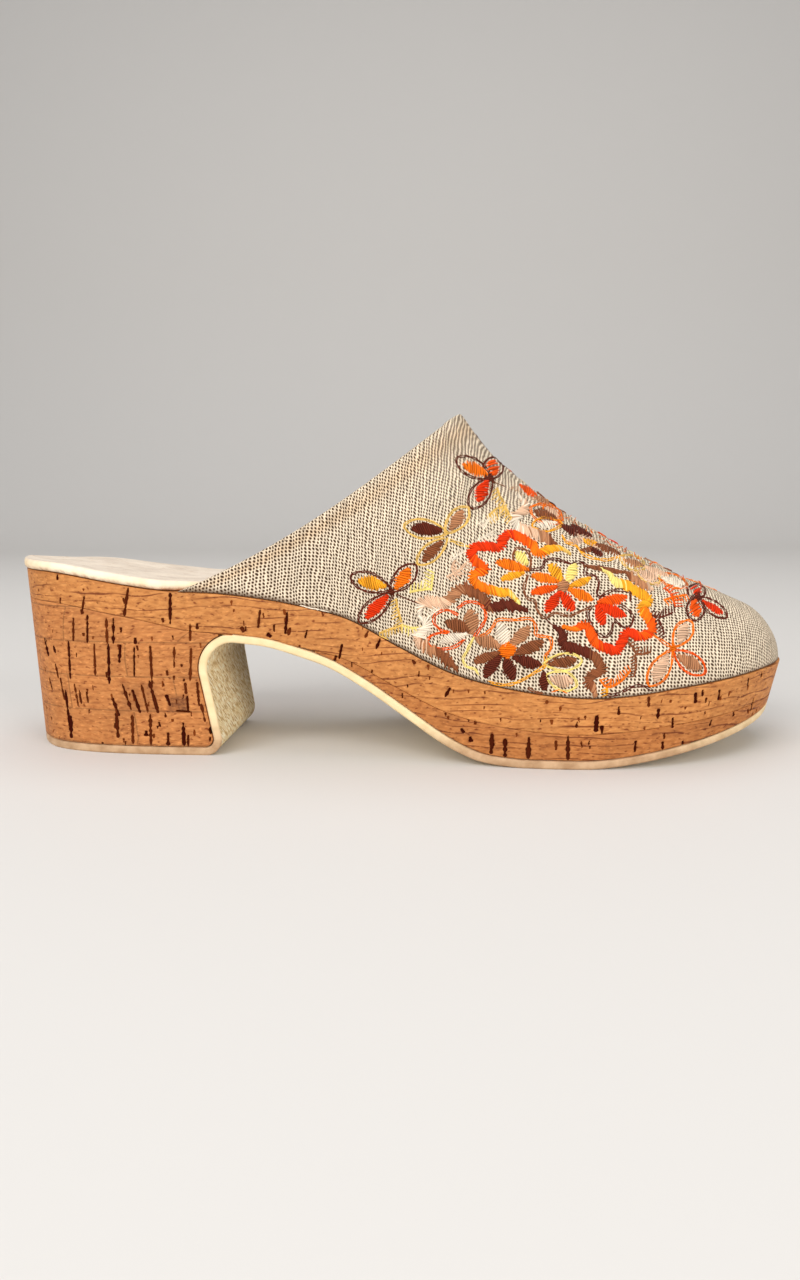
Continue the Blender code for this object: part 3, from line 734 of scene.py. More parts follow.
def linen_finish():
    """Plain weave: wavering columns of cream yarn, staggered dark dots in their gaps, and slubs."""
    finish = Finish("linen_weave", 0.9, 0.15)
    cloth = finish.coordinates(1.0, 1.0)
    leaning = finish.times(finish.axis(cloth, 1), -WARP_LEAN, finish.axis(cloth, 0))
    wander = finish.noise(finish.coordinates(0.16, 0.06), 2.0)
    waver = finish.noise(finish.coordinates(0.5, 0.45), 1.0)
    moved = finish.times(waver, WARP_WAVER, finish.times(wander, WARP_WANDER, leaning))
    across = finish.math("DIVIDE", moved, WARP_PITCH)
    gap_number = finish.math("ROUND", across)
    yarn = finish.math("ABSOLUTE", finish.math("SINE", finish.times(across, math.pi)))
    gap = finish.math("POWER", finish.math("SUBTRACT", 1.0, yarn), 0.95)
    jump = finish.node("ShaderNodeTexWhiteNoise", {"W": gap_number}, noise_dimensions="1D")
    stagger = finish.times(gap_number, 0.5, finish.times(jump, 0.2))
    along = finish.times(finish.axis(cloth, 1), 1.0 / BEAD_PITCH, stagger)
    dot = finish.math("SINE", finish.times(along, 2.0 * math.pi))
    uneven = finish.noise(finish.coordinates(0.7, 0.6, (3.0, 8.0)), 2.0)
    dot_swing = 0.80
    dot_level = 0.84
    depth = finish.times(finish.times(dot, dot_swing, dot_level), finish.math("ADD", uneven, 0.45))
    dark = finish.times(gap, depth)
    colour = finish.ramp(dark, (0.04, screen(242, 224, 197)), (0.28, screen(172, 146, 116)),
                         (0.62, screen(70, 50, 36)))
    slub = finish.noise(finish.coordinates(0.7, 0.12), 1.0)
    colour = finish.shade(colour, finish.ramp(slub, (0.34, grey(0.80)), (0.58, grey(1.0))))
    cloud = finish.noise(finish.coordinates(0.035, 0.035), 3.0)
    colour = finish.shade(colour, finish.ramp(cloud, (0.3, grey(0.9)), (0.7, grey(1.0))))
    colour = finish.shade(colour, screen(243, 232, 220), finish.attribute("hem"))
    # Painted shade: the linen darkens towards the feather line, in the gap where it meets the cork
    finish.paint(finish.mix(finish.attribute("edge"), colour, screen(84, 60, 42)))
    finish.bump(finish.math("SUBTRACT", 1.0, dark), 0.6, 0.0003)
    return finish.material


def lining_finish():
    finish = Finish("lining_cloth", 0.75, 0.3)
    grain = finish.noise(finish.coordinates(0.6, 0.6), 5.0)
    finish.paint(finish.ramp(grain, (0.3, screen(206, 184, 152)), (0.7, screen(230, 212, 184))))
    finish.bump(grain, 0.25, 0.0003)
    return finish.material


def cork_finish(name, light, tan, deep, rows):
    """Cork sheet: wavy lengthwise lines, specks and dull dark pores. Rows says whether blocks show in it."""
    gloss = 0.25
    pore_gloss = 0.05
    finish = Finish(name, 0.62, gloss)
    grain = finish.noise(finish.coordinates(0.28, 0.65), 2.0, 0.6)
    speck = finish.noise(finish.coordinates(0.55, 1.1), 1.0, 0.5)
    cloud = finish.noise(finish.coordinates(0.06, 0.09), 3.0)
    colour = finish.ramp(grain, (0.22, deep), (0.48, tan), (0.76, light))
    waves = finish.noise(finish.coordinates(0.035, 0.11), 2.0, 0.5)
    height = finish.axis(finish.coordinates(1.0, 1.0 / CORK_LINE), 1)
    contour = finish.math("PINGPONG", finish.times(waves, 3.2, height), 0.5)
    lines = finish.ramp(contour, (0.02, screen(150, 106, 76)), (0.12, grey(1.0)))
    broken = finish.noise(finish.coordinates(0.05, 0.4, (7.0, 3.0)), 1.0)
    strength = finish.ramp(broken, (0.42, grey(0.0)), (0.56, grey(0.3 if rows else 0.95)))
    colour = finish.shade(colour, lines, strength)
    if rows:
        inputs = {
            "Vector": finish.coordinates(1.0, 1.0, (0.0, -CORK_ROW_START)), "Scale": 1.0, "Brick Width": 37.0,
            "Row Height": CORK_ROW, "Mortar Size": 0.32, "Mortar Smooth": 0.5,
            "Color1": grey(0.82), "Color2": grey(1.0), "Mortar": grey(0.5),
        }
        blocks = finish.node("ShaderNodeTexBrick", inputs, offset=0.41)
        colour = finish.shade(colour, blocks, 0.8)
    tones = finish.ramp(cloud, (0.32, grey(0.82)), (0.68, grey(1.0)))
    colour = finish.shade(colour, tones, 0.8)
    specks = finish.ramp(speck, (0.27, screen(156, 104, 66)), (0.37, grey(0.90)), (0.60, grey(1.0)))
    colour = finish.shade(colour, specks, 0.85)
    flecks = finish.ramp(speck, (0.62, grey(0.0)), (0.72, grey(0.7)))
    colour = finish.mix(flecks, colour, light)
    patches = finish.noise(finish.coordinates(0.4, 0.7), 2.0, 0.6)
    mottle = finish.ramp(patches, (0.4, grey(0.5)), (0.6, grey(1.0)))
    colour = finish.mix(finish.times(finish.attribute("stain"), mottle), colour, screen(116, 66, 34))
    ragged = finish.times(finish.noise(finish.coordinates(1.6, 0.9), 2.0, 0.6), 1.0, 0.5)
    inside = finish.ramp(finish.times(finish.attribute("pore"), ragged), (0.34, grey(0.0)), (0.56, grey(1.0)))
    hole = finish.mix(finish.attribute("tone"), screen(142, 70, 26), screen(58, 10, 0))
    finish.paint(finish.mix(inside, colour, hole))
    finish.set(finish.shader, "Specular IOR Level", finish.times(inside, pore_gloss - gloss, gloss))
    relief = finish.math("SUBTRACT", finish.times(grain, 0.5), inside)
    finish.bump(finish.times(speck, 0.6, relief), 0.5, 0.0004)
    return finish.material


def outsole_finish():
    """Pale strip: smooth cut edge, grubby near the floor, and a rough face with painted shade deep in the
    arch.
    """
    finish = Finish("cream_outsole", 0.62, 0.25)
    face = finish.attribute("face")
    fibre = finish.noise(finish.coordinates(0.9, 0.4), 2.0, 0.6)
    cloud = finish.noise(finish.coordinates(0.25, 0.2), 3.0)
    edge = finish.ramp(cloud, (0.3, screen(236, 208, 158)), (0.7, screen(246, 222, 175)))
    grubby = finish.ramp(cloud, (0.34, screen(176, 138, 101)), (0.66, screen(206, 170, 132)))
    edge = finish.mix(finish.attribute("floor"), edge, grubby)
    rough = finish.ramp(fibre, (0.38, screen(204, 168, 112)), (0.50, screen(244, 220, 168)),
                        (0.60, screen(255, 246, 218)))
    # Painted shade on the rough face, deepest towards the inner side and up under the arch
    rough = finish.shade(rough, screen(150, 136, 116), finish.attribute("deep"))
    finish.paint(finish.mix(face, edge, rough))
    smooth_edge = 0.08
    finish.bump(finish.times(fibre, finish.times(face, 1.0 - smooth_edge, smooth_edge)), 0.8, 0.0008)
    return finish.material


def insole_finish():
    """Off-white leather, faintly clouded, and a little grubby along the rim's foot."""
    finish = Finish("cream_insole", 0.55, 0.3)
    pebble = finish.node("ShaderNodeTexVoronoi", {"Vector": finish.coordinates(1.0, 1.0), "Scale": 0.9})
    cloud = finish.noise(finish.coordinates(0.06, 0.09), 5.0, 0.6)
    scuff = finish.noise(finish.coordinates(0.3, 0.5), 6.0, 0.7)
    colour = finish.ramp(cloud, (0.34, screen(214, 196, 176)), (0.62, screen(238, 222, 202)))
    worn = finish.ramp(scuff, (0.36, screen(222, 200, 180)), (0.46, grey(1.0)))
    colour = finish.shade(colour, worn, 0.6)
    rim = finish.ramp(cloud, (0.36, screen(236, 206, 160)), (0.58, screen(250, 232, 200)))
    colour = finish.mix(finish.attribute("rim"), colour, rim)
    stain = finish.times(finish.attribute("foot"), finish.ramp(scuff, (0.42, grey(0.9)), (0.58, grey(0.1))))
    finish.paint(finish.mix(stain, colour, screen(168, 118, 72)))
    finish.bump(finish.times(pebble, 0.5, scuff), 0.25, 0.0004)
    return finish.material


def thread_finish(name, colour):
    """Cotton: each thread a slightly different shade, with painted shade where it meets its neighbours."""
    finish = Finish("thread_" + name, 0.6, 0.1)
    island = finish.node("ShaderNodeNewGeometry", output="Random Per Island")
    low = tuple(0.72 * value for value in colour[:3]) + (1.0,)
    high = tuple(min(1.15 * value, 1.0) for value in colour[:3]) + (1.0,)
    shade = finish.ramp(island, (0.0, low), (0.4, colour), (1.0, high))
    around = finish.axis(finish.coordinates(1.0, 1.0), 1)
    # Painted shade: each thread darkens towards its feet, where it meets its neighbours
    sides = finish.ramp(around, (0.05, grey(0.55)), (0.38, grey(1.0)), (0.62, grey(1.0)), (0.95, grey(0.55)))
    finish.paint(finish.shade(shade, sides))
    return finish.material


def add_piece(name, points, faces, materials, uv, node=None, face_materials=None, values=None,
              sharp_angle=40.0):
    """Mesh piece from a grid of points in millimetres, welded, riding on the one body."""
    weld = 2e-8
    sliver = 1e-8
    mesh = bpy.data.meshes.new(name)
    mesh.from_pydata(((points.reshape(-1, 3) - MIDDLE) * MM).tolist(), [], faces)
    corners = np.empty(len(mesh.loops), dtype=np.int64)
    mesh.loops.foreach_get("vertex_index", corners)
    corner_uv = uv.reshape(-1, 2)[corners].astype(np.float32)
    mesh.uv_layers.new(name="UVMap").data.foreach_set("uv", corner_uv.ravel())
    for label, numbers in (values or {}).items():
        layer = mesh.attributes.new(label, "FLOAT", "POINT")
        spread = np.broadcast_to(numbers, points.shape[:-1])
        layer.data.foreach_set("value", spread.astype(np.float32).ravel())
    for material in materials:
        mesh.materials.append(material)
    if face_materials is not None:
        mesh.polygons.foreach_set("material_index", np.asarray(face_materials, np.int32))
    work = bmesh.new()
    work.from_mesh(mesh)
    bmesh.ops.remove_doubles(work, verts=work.verts, dist=weld)
    bmesh.ops.dissolve_degenerate(work, edges=work.edges, dist=sliver)
    bmesh.ops.recalc_face_normals(work, faces=work.faces)
    work.to_mesh(mesh)
    work.free()
    mesh.shade_smooth()
    mesh.set_sharp_from_angle(angle=math.radians(sharp_angle))
    piece = bpy.data.objects.new(name, mesh)
    bpy.context.scene.collection.objects.link(piece)
    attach(piece, "root")
    if node:
        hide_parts(node)


def grid_faces(rows, columns, closed=False):
    """Quads of a grid of points stored row by row; closed joins the last column to the first."""
    index = np.arange(rows * columns).reshape(rows, columns)
    after = np.roll(index, -1, axis=1) if closed else index[:, 1:]
    before = index if closed else index[:, :-1]
    quads = np.stack([before[:-1], after[:-1], after[1:], before[1:]], axis=-1)
    return quads.reshape(-1, 4).tolist()


UPPER_ROWS = 150
UPPER_COLUMNS = 180
THROAT_BLUNT = 15
THROAT_TURNS = 0.15
RIM_STEPS = 5
RIM_RUN = 2.4
CLOTH_TURN = 0.1


def cloth_run(station):
    """Length along the upper's side from its back tip to a station."""
    stops = UPPER_TIP + (UPPER_TOE - UPPER_TIP) * np.sin(0.5 * math.pi * np.linspace(0.0, 1.0, 400))
    return np.interp(station, stops, run_along(upper_point(stops, CLOTH_TURN)))


def upper_grids():
    """Stations and turns of the upper's outer face, from the topline to the toe."""
    turns = np.linspace(0.0, 1.0, UPPER_COLUMNS + 1)
    start = topline_station(turns)
    start[0] = start[-1] = UPPER_TIP
    blunt = np.hanning(2 * THROAT_BLUNT + 1)
    softened = np.convolve(start, blunt / blunt.sum(), mode="same")
    near_ridge = np.abs(turns - 0.5) < THROAT_TURNS
    start = np.where(near_ridge, softened, start)
    share = np.sin(0.5 * math.pi * np.linspace(0.0, 1.0, UPPER_ROWS + 1))
    stations = start[None, :] + (UPPER_TOE - start)[None, :] * share[:, None]
    return stations, np.broadcast_to(turns, stations.shape).copy()


def make_upper(linen, lining):
    """Hollow linen shell with a rounded topline and a lining inside."""
    stations, turns = upper_grids()
    outer = upper_point(stations, turns)
    inner = outer - WALL * upper_normal(stations, turns)
    for edge in (np.s_[:, 0], np.s_[:, -1], np.s_[-1, :]):
        inner[edge + (2,)] = feather(inner[edge + (0,)]) + GAP
    cloth = np.stack([cloth_run(stations), girth(stations, turns)], axis=-1)
    hem = np.exp(-(((cloth[..., 0] - cloth[0, :, 0] - HEM_DEPTH) / HEM_WIDTH) ** 2))
    outer -= HEM_TROUGH * hem[..., None] * upper_normal(stations, turns)
    back = unit(outer[0] - outer[1])
    middle = 0.5 * (outer[0] + inner[0])
    half = 0.5 * (outer[0] - inner[0])
    rim = []
    rim_cloth = []
    for share in np.arange(RIM_STEPS - 1, 0, -1) / RIM_STEPS:
        angle = math.pi * share
        rim.append(middle + half * math.cos(angle) + TOPLINE_ROUND * math.sin(angle) * back)
        rim_cloth.append(cloth[0] - (RIM_RUN * share, 0.0))
    rows = np.concatenate([inner[::-1], rim, outer])
    folded = cloth * (-1.0, 1.0) + (2.0 * cloth[:1] - (RIM_RUN, 0.0)) * (1.0, 0.0)
    uv = np.concatenate([folded[::-1], rim_cloth, cloth])
    ends = np.where(turns < 0.5, -girth(stations, np.zeros_like(turns)), girth(stations, np.ones_like(turns)))
    # Painted shade near the feather line, fading over SEAM_SHADE millimetres from it
    edge = np.exp(-(ends - np.abs(cloth[..., 1])) / SEAM_SHADE)
    plain = np.zeros((len(rim), edge.shape[1]))
    edge = np.concatenate([edge[::-1], plain, edge])
    hem = np.concatenate([np.zeros_like(hem), plain, hem])
    count = rows.shape[1]
    faces = grid_faces(rows.shape[0], count)
    is_lining = np.repeat(np.arange(rows.shape[0] - 1) < UPPER_ROWS, count - 1).astype(int).tolist()
    first_outer = UPPER_ROWS + len(rim) + 1
    for side in (0, count - 1):
        for row in range(UPPER_ROWS):
            near = (first_outer + row) * count + side
            far = (UPPER_ROWS - row) * count + side
            faces.append([near, near + count, far - count, far])
            is_lining.append(1)
        faces.append([row * count + side for row in range(UPPER_ROWS, first_outer + 1)])
        is_lining.append(0)
    add_piece("upper_linen", rows, faces, [linen, lining], uv, node="upper",
              face_materials=is_lining, values={"edge": edge, "hem": hem})
    quads = grid_faces(UPPER_ROWS + 1, UPPER_COLUMNS + 1)
    return BVHTree.FromPolygons(outer.reshape(-1, 3).tolist(), quads)


def line_through(points, spacing):
    """Smooth line through chart points, resampled at an even spacing."""
    points = np.asarray(points, float)
    knots = run_along(points)
    fine = np.linspace(0.0, knots[-1], max(int(knots[-1] * 3), 8))
    dense = np.stack([smooth(knots, points[:, axis], fine) for axis in (0, 1)], axis=-1)
    lengths = run_along(dense)
    count = max(int(round(lengths[-1] / spacing)), 2)
    even = np.linspace(0.0, lengths[-1], count + 1)
    return np.stack([np.interp(even, lengths, dense[:, axis]) for axis in (0, 1)], axis=-1)


def sideways(line):
    """Unit directions across a chart line."""
    run = unit(np.gradient(line, axis=0))
    return np.stack([run[:, 1], -run[:, 0]], axis=-1)


# Threads in millimetres
THREAD_WIDTH = 0.64
UNDERLAY_WIDTH = 1.6
RUN_WIDTH = 0.42
LOOSE_WIDTH = 0.14
THREAD_DEPTH = 0.30
PADDING = 0.35
RUN_START = -0.02
RUN_HEIGHT = 0.30
SATIN_START = 0.02
PETAL_PAD = 0.45
PETAL_PAD_GROWTH = 0.03
BAND_PAD = 0.6
DISC_PAD = 1.0
LONGEST_END = 3.5
HAIR_FOOT = 0.1
HAIR_LOWEST = 0.4
# In pixels of the chart
THREAD_SPACING = 1.6
LINE_SPACING = 4.0
FERN_SPACING = 3.2
RUNNING_STITCH = 8.0
LINE_APART = 1.0
OUTLINE_APART = 0.7
FERN_APART = 0.6
OUTLINE_MARGIN = 3.0
PETAL_ROOT = 3.0
OUTLINE_ROOT = 6.0
FLOWER_HEART = 6.0
DISC_SLANT = 1.5
HAIR_LENGTHS = (2.0, 5.0)
CHART_MIDDLE = (540.0, 610.0)
# Counts, and shares of a stitch, a petal, a band or a rung
STITCH_POINTS = 6
RUNNING_STEPS = 5
HAIRS_PER_LINE = 40
THREAD_CREST = 0.4
THREAD_UNEVEN = (0.85, 1.12)
LINE_WOBBLE = (0.4, 1.3)
RUN_OVERLAP = 0.12
UNDERLAY_INSET = 0.12
COLOUR_BLUR = 0.35
SATIN_LEAD = 0.03
RAGGED_RANGE = (-0.4, 1.0)
PETAL_RAGGED = 0.1
DISC_RAGGED = 0.06
PETAL_SLANT = 1.1
BAND_SLANT = 1.8
BAND_TAPER = 0.10
BAND_END = 0.22
RUNG_LENGTHS = (0.7, 1.2)
RUNG_LEAD = 0.9
RUNG_BACK = 0.2
# Turn of the upper up to which the outer side's threads are mirrored
MIRRORED_TURN = 0.45


def photo_sight(pixel):
    """Line from the camera through a pixel of the photograph."""
    return Vector(EYE), Vector(pixel_rays(pixel))


def plan_sight(point):
    """Line straight down onto a point of the plan chart."""
    station, across = np.array(point) / PLAN_SCALE
    ridge = upper_frame(station)[0]
    return Vector((station, ridge + across, 2.0 * INSTEP_HEIGHT)), Vector((0.0, 0.0, -1.0))


class Embroidery:
    """Collects threads on the upper by colour, as stations, turns and heights above the cloth."""

    def __init__(self, cloth):
        self.cloth = cloth
        self.sight = photo_sight
        self.chance = random.Random(SEED)
        self.threads = {name: [] for name in THREADS}

    def lift(self, pixels):
        """Stations and turns on the upper of chart points; one off the cloth slides back onto it."""
        found = []
        for pixel in pixels:
            for slide in np.linspace(0.0, 1.0, 60):
                moved = np.array(pixel) + slide * (np.array(CHART_MIDDLE) - pixel)
                hit = self.cloth.ray_cast(*self.sight(moved))[0]
                if hit is not None:
                    break
            found.append(tuple(hit))
        found = np.array(found)
        return np.stack([found[:, 0], upper_turn(found)], axis=-1)

    def stitch(self, colour, pixels, low, high, width=THREAD_WIDTH, loose=False):
        """One thread along chart points. It arches from low to high and back, or ends high if loose."""
        pixels = np.asarray(pixels, float)
        spread = np.linspace(0.0, len(pixels) - 1.0, STITCH_POINTS)
        index = np.arange(len(pixels))
        even = np.stack([np.interp(spread, index, pixels[:, axis]) for axis in (0, 1)], axis=-1)
        share = np.linspace(0.0, 1.0, STITCH_POINTS)
        rise = share**1.5 if loose else np.sin(math.pi * share) ** 0.55
        heights = low + (high - low) * rise * self.chance.uniform(*THREAD_UNEVEN)
        deepest = heights.max() if loose else PADDING
        places = self.lift(even)
        if loose:
            reach = np.linalg.norm(upper_point(*places[-1]) - upper_point(*places[0]))
            places = places[0] + (places - places[0]) * min(1.0, LONGEST_END / reach)
        feet = np.minimum(heights - THREAD_DEPTH, deepest)
        self.threads[colour].append((places, heights, feet, width))

    def run(self, colour, line):
        """Running stitches along a chart line."""
        path = line_through(line, RUNNING_STITCH)
        dense = line_through(line, RUNNING_STITCH / RUNNING_STEPS)
        for start in range(0, RUNNING_STEPS * (len(path) - 1), RUNNING_STEPS):
            piece = dense[start:start + RUNNING_STEPS + 1]
            if len(piece) > 1:
                overlap = RUN_OVERLAP * (piece[-1] - piece[0])
                piece = piece.copy()
                piece[0] -= overlap
                piece[-1] += overlap
                self.stitch(colour, piece, RUN_START, RUN_HEIGHT, RUN_WIDTH)

    def line(self, row):
        if row.doubled:
            self.doubled(row.colour, row.points)
        else:
            self.run(row.colour, row.points)

    def doubled(self, colour, line, apart=LINE_APART):
        """Two wavering lines of running stitches side by side."""
        path = line_through(line, LINE_SPACING)
        side = sideways(path)
        wobble = np.array([self.chance.uniform(*LINE_WOBBLE) for _ in path])[:, None]
        self.run(colour, path + apart * wobble * side)
        self.run(colour, path - apart * wobble * side)

    def satin(self, colours, left, right, pad, ragged):
        """Slanted threads side by side between two chart lines, with uneven ends."""
        last = len(left) - 1
        for index, (start, end) in enumerate(zip(left, right)):
            place = index / max(last, 1) * (len(colours) - 1) + self.chance.uniform(-COLOUR_BLUR, COLOUR_BLUR)
            colour = colours[min(max(int(round(place)), 0), len(colours) - 1)]
            across = end - start
            if index % 2 == 0:
                inset = UNDERLAY_INSET * across
                self.stitch(colour, [start + inset, end - inset], 0.0, 0.5 * pad, UNDERLAY_WIDTH)
            lead = self.chance.uniform(-SATIN_LEAD, SATIN_LEAD) * np.array((across[1], -across[0]))
            start = start - across * self.chance.uniform(*RAGGED_RANGE) * ragged + lead
            end = end + across * self.chance.uniform(*RAGGED_RANGE) * ragged - lead
            self.stitch(colour, [start, 0.5 * (start + end), end], SATIN_START, pad)

    def petal(self, row):
        """Leaf of satin stitches, with running stitches round it if it has an outline."""
        base = np.array((row.base_x, row.base_y), float)
        tip = np.array((row.tip_x, row.tip_y), float)
        ahead = unit(tip - base)
        if not row.outline:
            base = base - PETAL_ROOT * ahead
        length = np.linalg.norm(tip - base)
        side = np.array((ahead[1], -ahead[0]))
        share = np.linspace(0.0, 1.0, max(int(length / THREAD_SPACING), 5))

        def edge(shares, half, sign, root=0.0, reach=0.0):
            shares = np.clip(shares, 0.0, 1.0)
            wide = half * np.sin(math.pi * shares**1.25) ** 0.62
            run = (root + length + reach) * shares - root
            return base + ahead * run[:, None] + side * (sign * wide)[:, None]

        slant = PETAL_SLANT * row.half / length
        left = edge(share * (1.0 + slant) - slant, row.half, 1.0)
        right = edge(share * (1.0 + slant), row.half, -1.0)
        self.satin([row.fill], left, right, PETAL_PAD + PETAL_PAD_GROWTH * row.half, PETAL_RAGGED)
        if row.outline:
            share = np.linspace(0.0, 1.0, 9)
            half = row.half + OUTLINE_MARGIN
            out, back = (edge(share, half, sign, OUTLINE_ROOT, row.reach) for sign in (1.0, -1.0))
            self.doubled(row.outline, np.concatenate([out, back[-2::-1]]), OUTLINE_APART)

    def flower(self, row):
        """Petals round a satin heart."""
        for number in range(row.petals):
            angle = math.radians(row.angle) + 2.0 * math.pi * number / row.petals
            ahead = np.array((math.cos(angle), math.sin(angle)))
            base = (row.x, row.y) + FLOWER_HEART * ahead
            tip = (row.x, row.y) + row.reach * ahead
            fill = row.fills[number % len(row.fills)]
            self.petal(Petal(*base, *tip, row.half, fill, row.outline, FLOWER_HEART))
        wide = 0.5 * FLOWER_HEART if row.outline else FLOWER_HEART
        self.disc(Disc(row.x, row.y, wide, wide, row.heart))

    def band(self, row):
        """Satin stitches across a line, narrow at its ends."""
        path = line_through(row.line, THREAD_SPACING)
        side = sideways(path)
        share = np.linspace(0.0, 1.0, len(path))
        taper = np.clip(np.minimum(share, 1.0 - share) / BAND_TAPER, BAND_END, 1.0)[:, None]
        slant = np.gradient(path, axis=0) * BAND_SLANT
        left = path + side * row.half * taper - slant
        right = path - side * row.half * taper + slant
        self.satin(row.colours, left, right, BAND_PAD, row.ragged)

    def fern(self, row):
        """Doubled line with slanted rungs to one side of it."""
        path = line_through(row.points, FERN_SPACING)
        side = sideways(path)
        self.doubled(row.colour, row.points, FERN_APART)
        lead = np.gradient(path, axis=0) * RUNG_LEAD
        for place, out, ahead in zip(path, side, lead):
            length = row.rung * self.chance.uniform(*RUNG_LENGTHS)
            back = -RUNG_BACK * out * row.rung
            self.stitch(row.colour, [place + back, place + out * length + ahead], 0.0, RUN_HEIGHT, RUN_WIDTH)

    def disc(self, row):
        """Oval of satin stitches."""
        share = np.linspace(-0.96, 0.96, max(int(2.0 * row.tall / THREAD_SPACING), 4))
        reach = row.wide * np.sqrt(1.0 - share * share)
        left = np.stack([row.x - reach, row.y + row.tall * share], axis=-1)
        right = np.stack([row.x + reach, row.y + row.tall * share - DISC_SLANT], axis=-1)
        self.satin([row.fill], left, right, DISC_PAD, DISC_RAGGED)

    def loose_end(self, row):
        """Fine end of a thread that stands away from the cloth."""
        self.stitch(row.colour, row.points, 0.0, row.height, LOOSE_WIDTH, loose=True)

    def fuzz(self, row):
        """Short fine hairs at random along a chart line."""
        path = line_through(row.points, 1.0)
        for _ in range(HAIRS_PER_LINE):
            start = path[self.chance.randrange(len(path))]
            turn = self.chance.uniform(0.0, 2.0 * math.pi)
            end = start + self.chance.uniform(*HAIR_LENGTHS) * np.array((math.cos(turn), math.sin(turn)))
            height = self.chance.uniform(HAIR_LOWEST, row.height)
            self.stitch(row.colour, [start, end], HAIR_FOOT, height, LOOSE_WIDTH, loose=True)

    def sew(self, *charts):
        """Works the rows of each chart with its own kind of stitch."""
        for stitches, rows in charts:
            for row in rows:
                stitches(row)

    def mirrored(self):
        """Adds the same threads on the inner side of the foot, which the photograph doesn't show."""
        for threads in self.threads.values():
            copies = []
            for places, *sizes in threads:
                if places[:, 1].max() < MIRRORED_TURN:
                    copies.append((np.stack([places[:, 0], 1.0 - places[:, 1]], axis=-1), *sizes))
            threads.extend(copies)

    def build(self):
        """One closed little bar for each thread, joined by colour."""
        for name, threads in self.threads.items():
            places, heights, feet, widths = (np.array(column) for column in zip(*threads))
            normal = upper_normal(places[..., 0], places[..., 1])
            middle = upper_point(places[..., 0], places[..., 1])
            run = unit(np.gradient(middle, axis=1))
            side = np.cross(run, normal) * 0.5 * widths[:, None, None]
            foot = middle + normal * feet[..., None]
            top = middle + normal * heights[..., None]
            crest = THREAD_CREST * side
            rings = np.stack([foot - side, top - crest, top + crest, foot + side], axis=2)
            block = np.array(grid_faces(STITCH_POINTS, 4, closed=True))
            ends = np.array([[3, 2, 1, 0], [4 * STITCH_POINTS - 4 + corner for corner in range(4)]])
            quads = np.concatenate([block, ends])
            shift = (np.arange(len(threads)) * 4 * STITCH_POINTS)[:, None, None]
            faces = (quads[None] + shift).reshape(-1, 4).tolist()
            along = np.broadcast_to(np.linspace(0.0, 3.0, STITCH_POINTS)[None, :, None], rings.shape[:3])
            around = np.broadcast_to(np.linspace(0.0, 1.0, 4)[None, None, :], rings.shape[:3])
            uv = np.stack([along, around], axis=-1)
            cotton = thread_finish(name, screen(*THREADS[name]))
            add_piece("embroidery_" + name, rings, faces, [cotton], uv, sharp_angle=75.0)


def embroider(cloth):
    work = Embroidery(cloth)
    work.sew((work.line, LINES), (work.fern, FERNS), (work.band, BANDS), (work.petal, PETALS),
             (work.disc, DISCS), (work.loose_end, LOOSE_ENDS), (work.fuzz, FUZZ))
    work.mirrored()
    work.sight = plan_sight
    work.sew((work.line, RIDGE_LINES), (work.fern, RIDGE_FERNS), (work.flower, RIDGE_FLOWERS))
    work.build()


CORK_GRID = 0.30
EDGE_ROUND = 0.15
PORE_DEPTH = 0.5
MIDSOLE_TALL = 11.0
PLATFORM_TALL = 8.0
PLATFORM_FROM = 0.36
PORE_PHASES = 6.0
PORE_MARGIN = 0.6
PORE_WANDER = 1.1
PORE_WIDTHS = (0.25, 2.0)
PORE_END_POWER = 4
PORE_REACH = 1.3
PORE_FADE = 0.6
STROKE_SHARE = 0.4
STROKE_TONES = (0.35, 0.8)
STROKE_TONE_GROWTH = 0.12
STAIN_REACH = 1.3
STAIN_FADE = 0.5


def even_stations(side, start, end, count):
    """Stations at even steps along one side of the outline."""
    turns = np.linspace(turn_of(start / LENGTH), turn_of(end / LENGTH), 3000)
    stations = LENGTH * share_of(turns)
    y = edges(stations)[0 if side < 0 else 1]
    run = run_along(np.stack([stations, y], axis=-1))
    return np.interp(np.linspace(0.0, run[-1], count + 1), run, stations), run[-1]


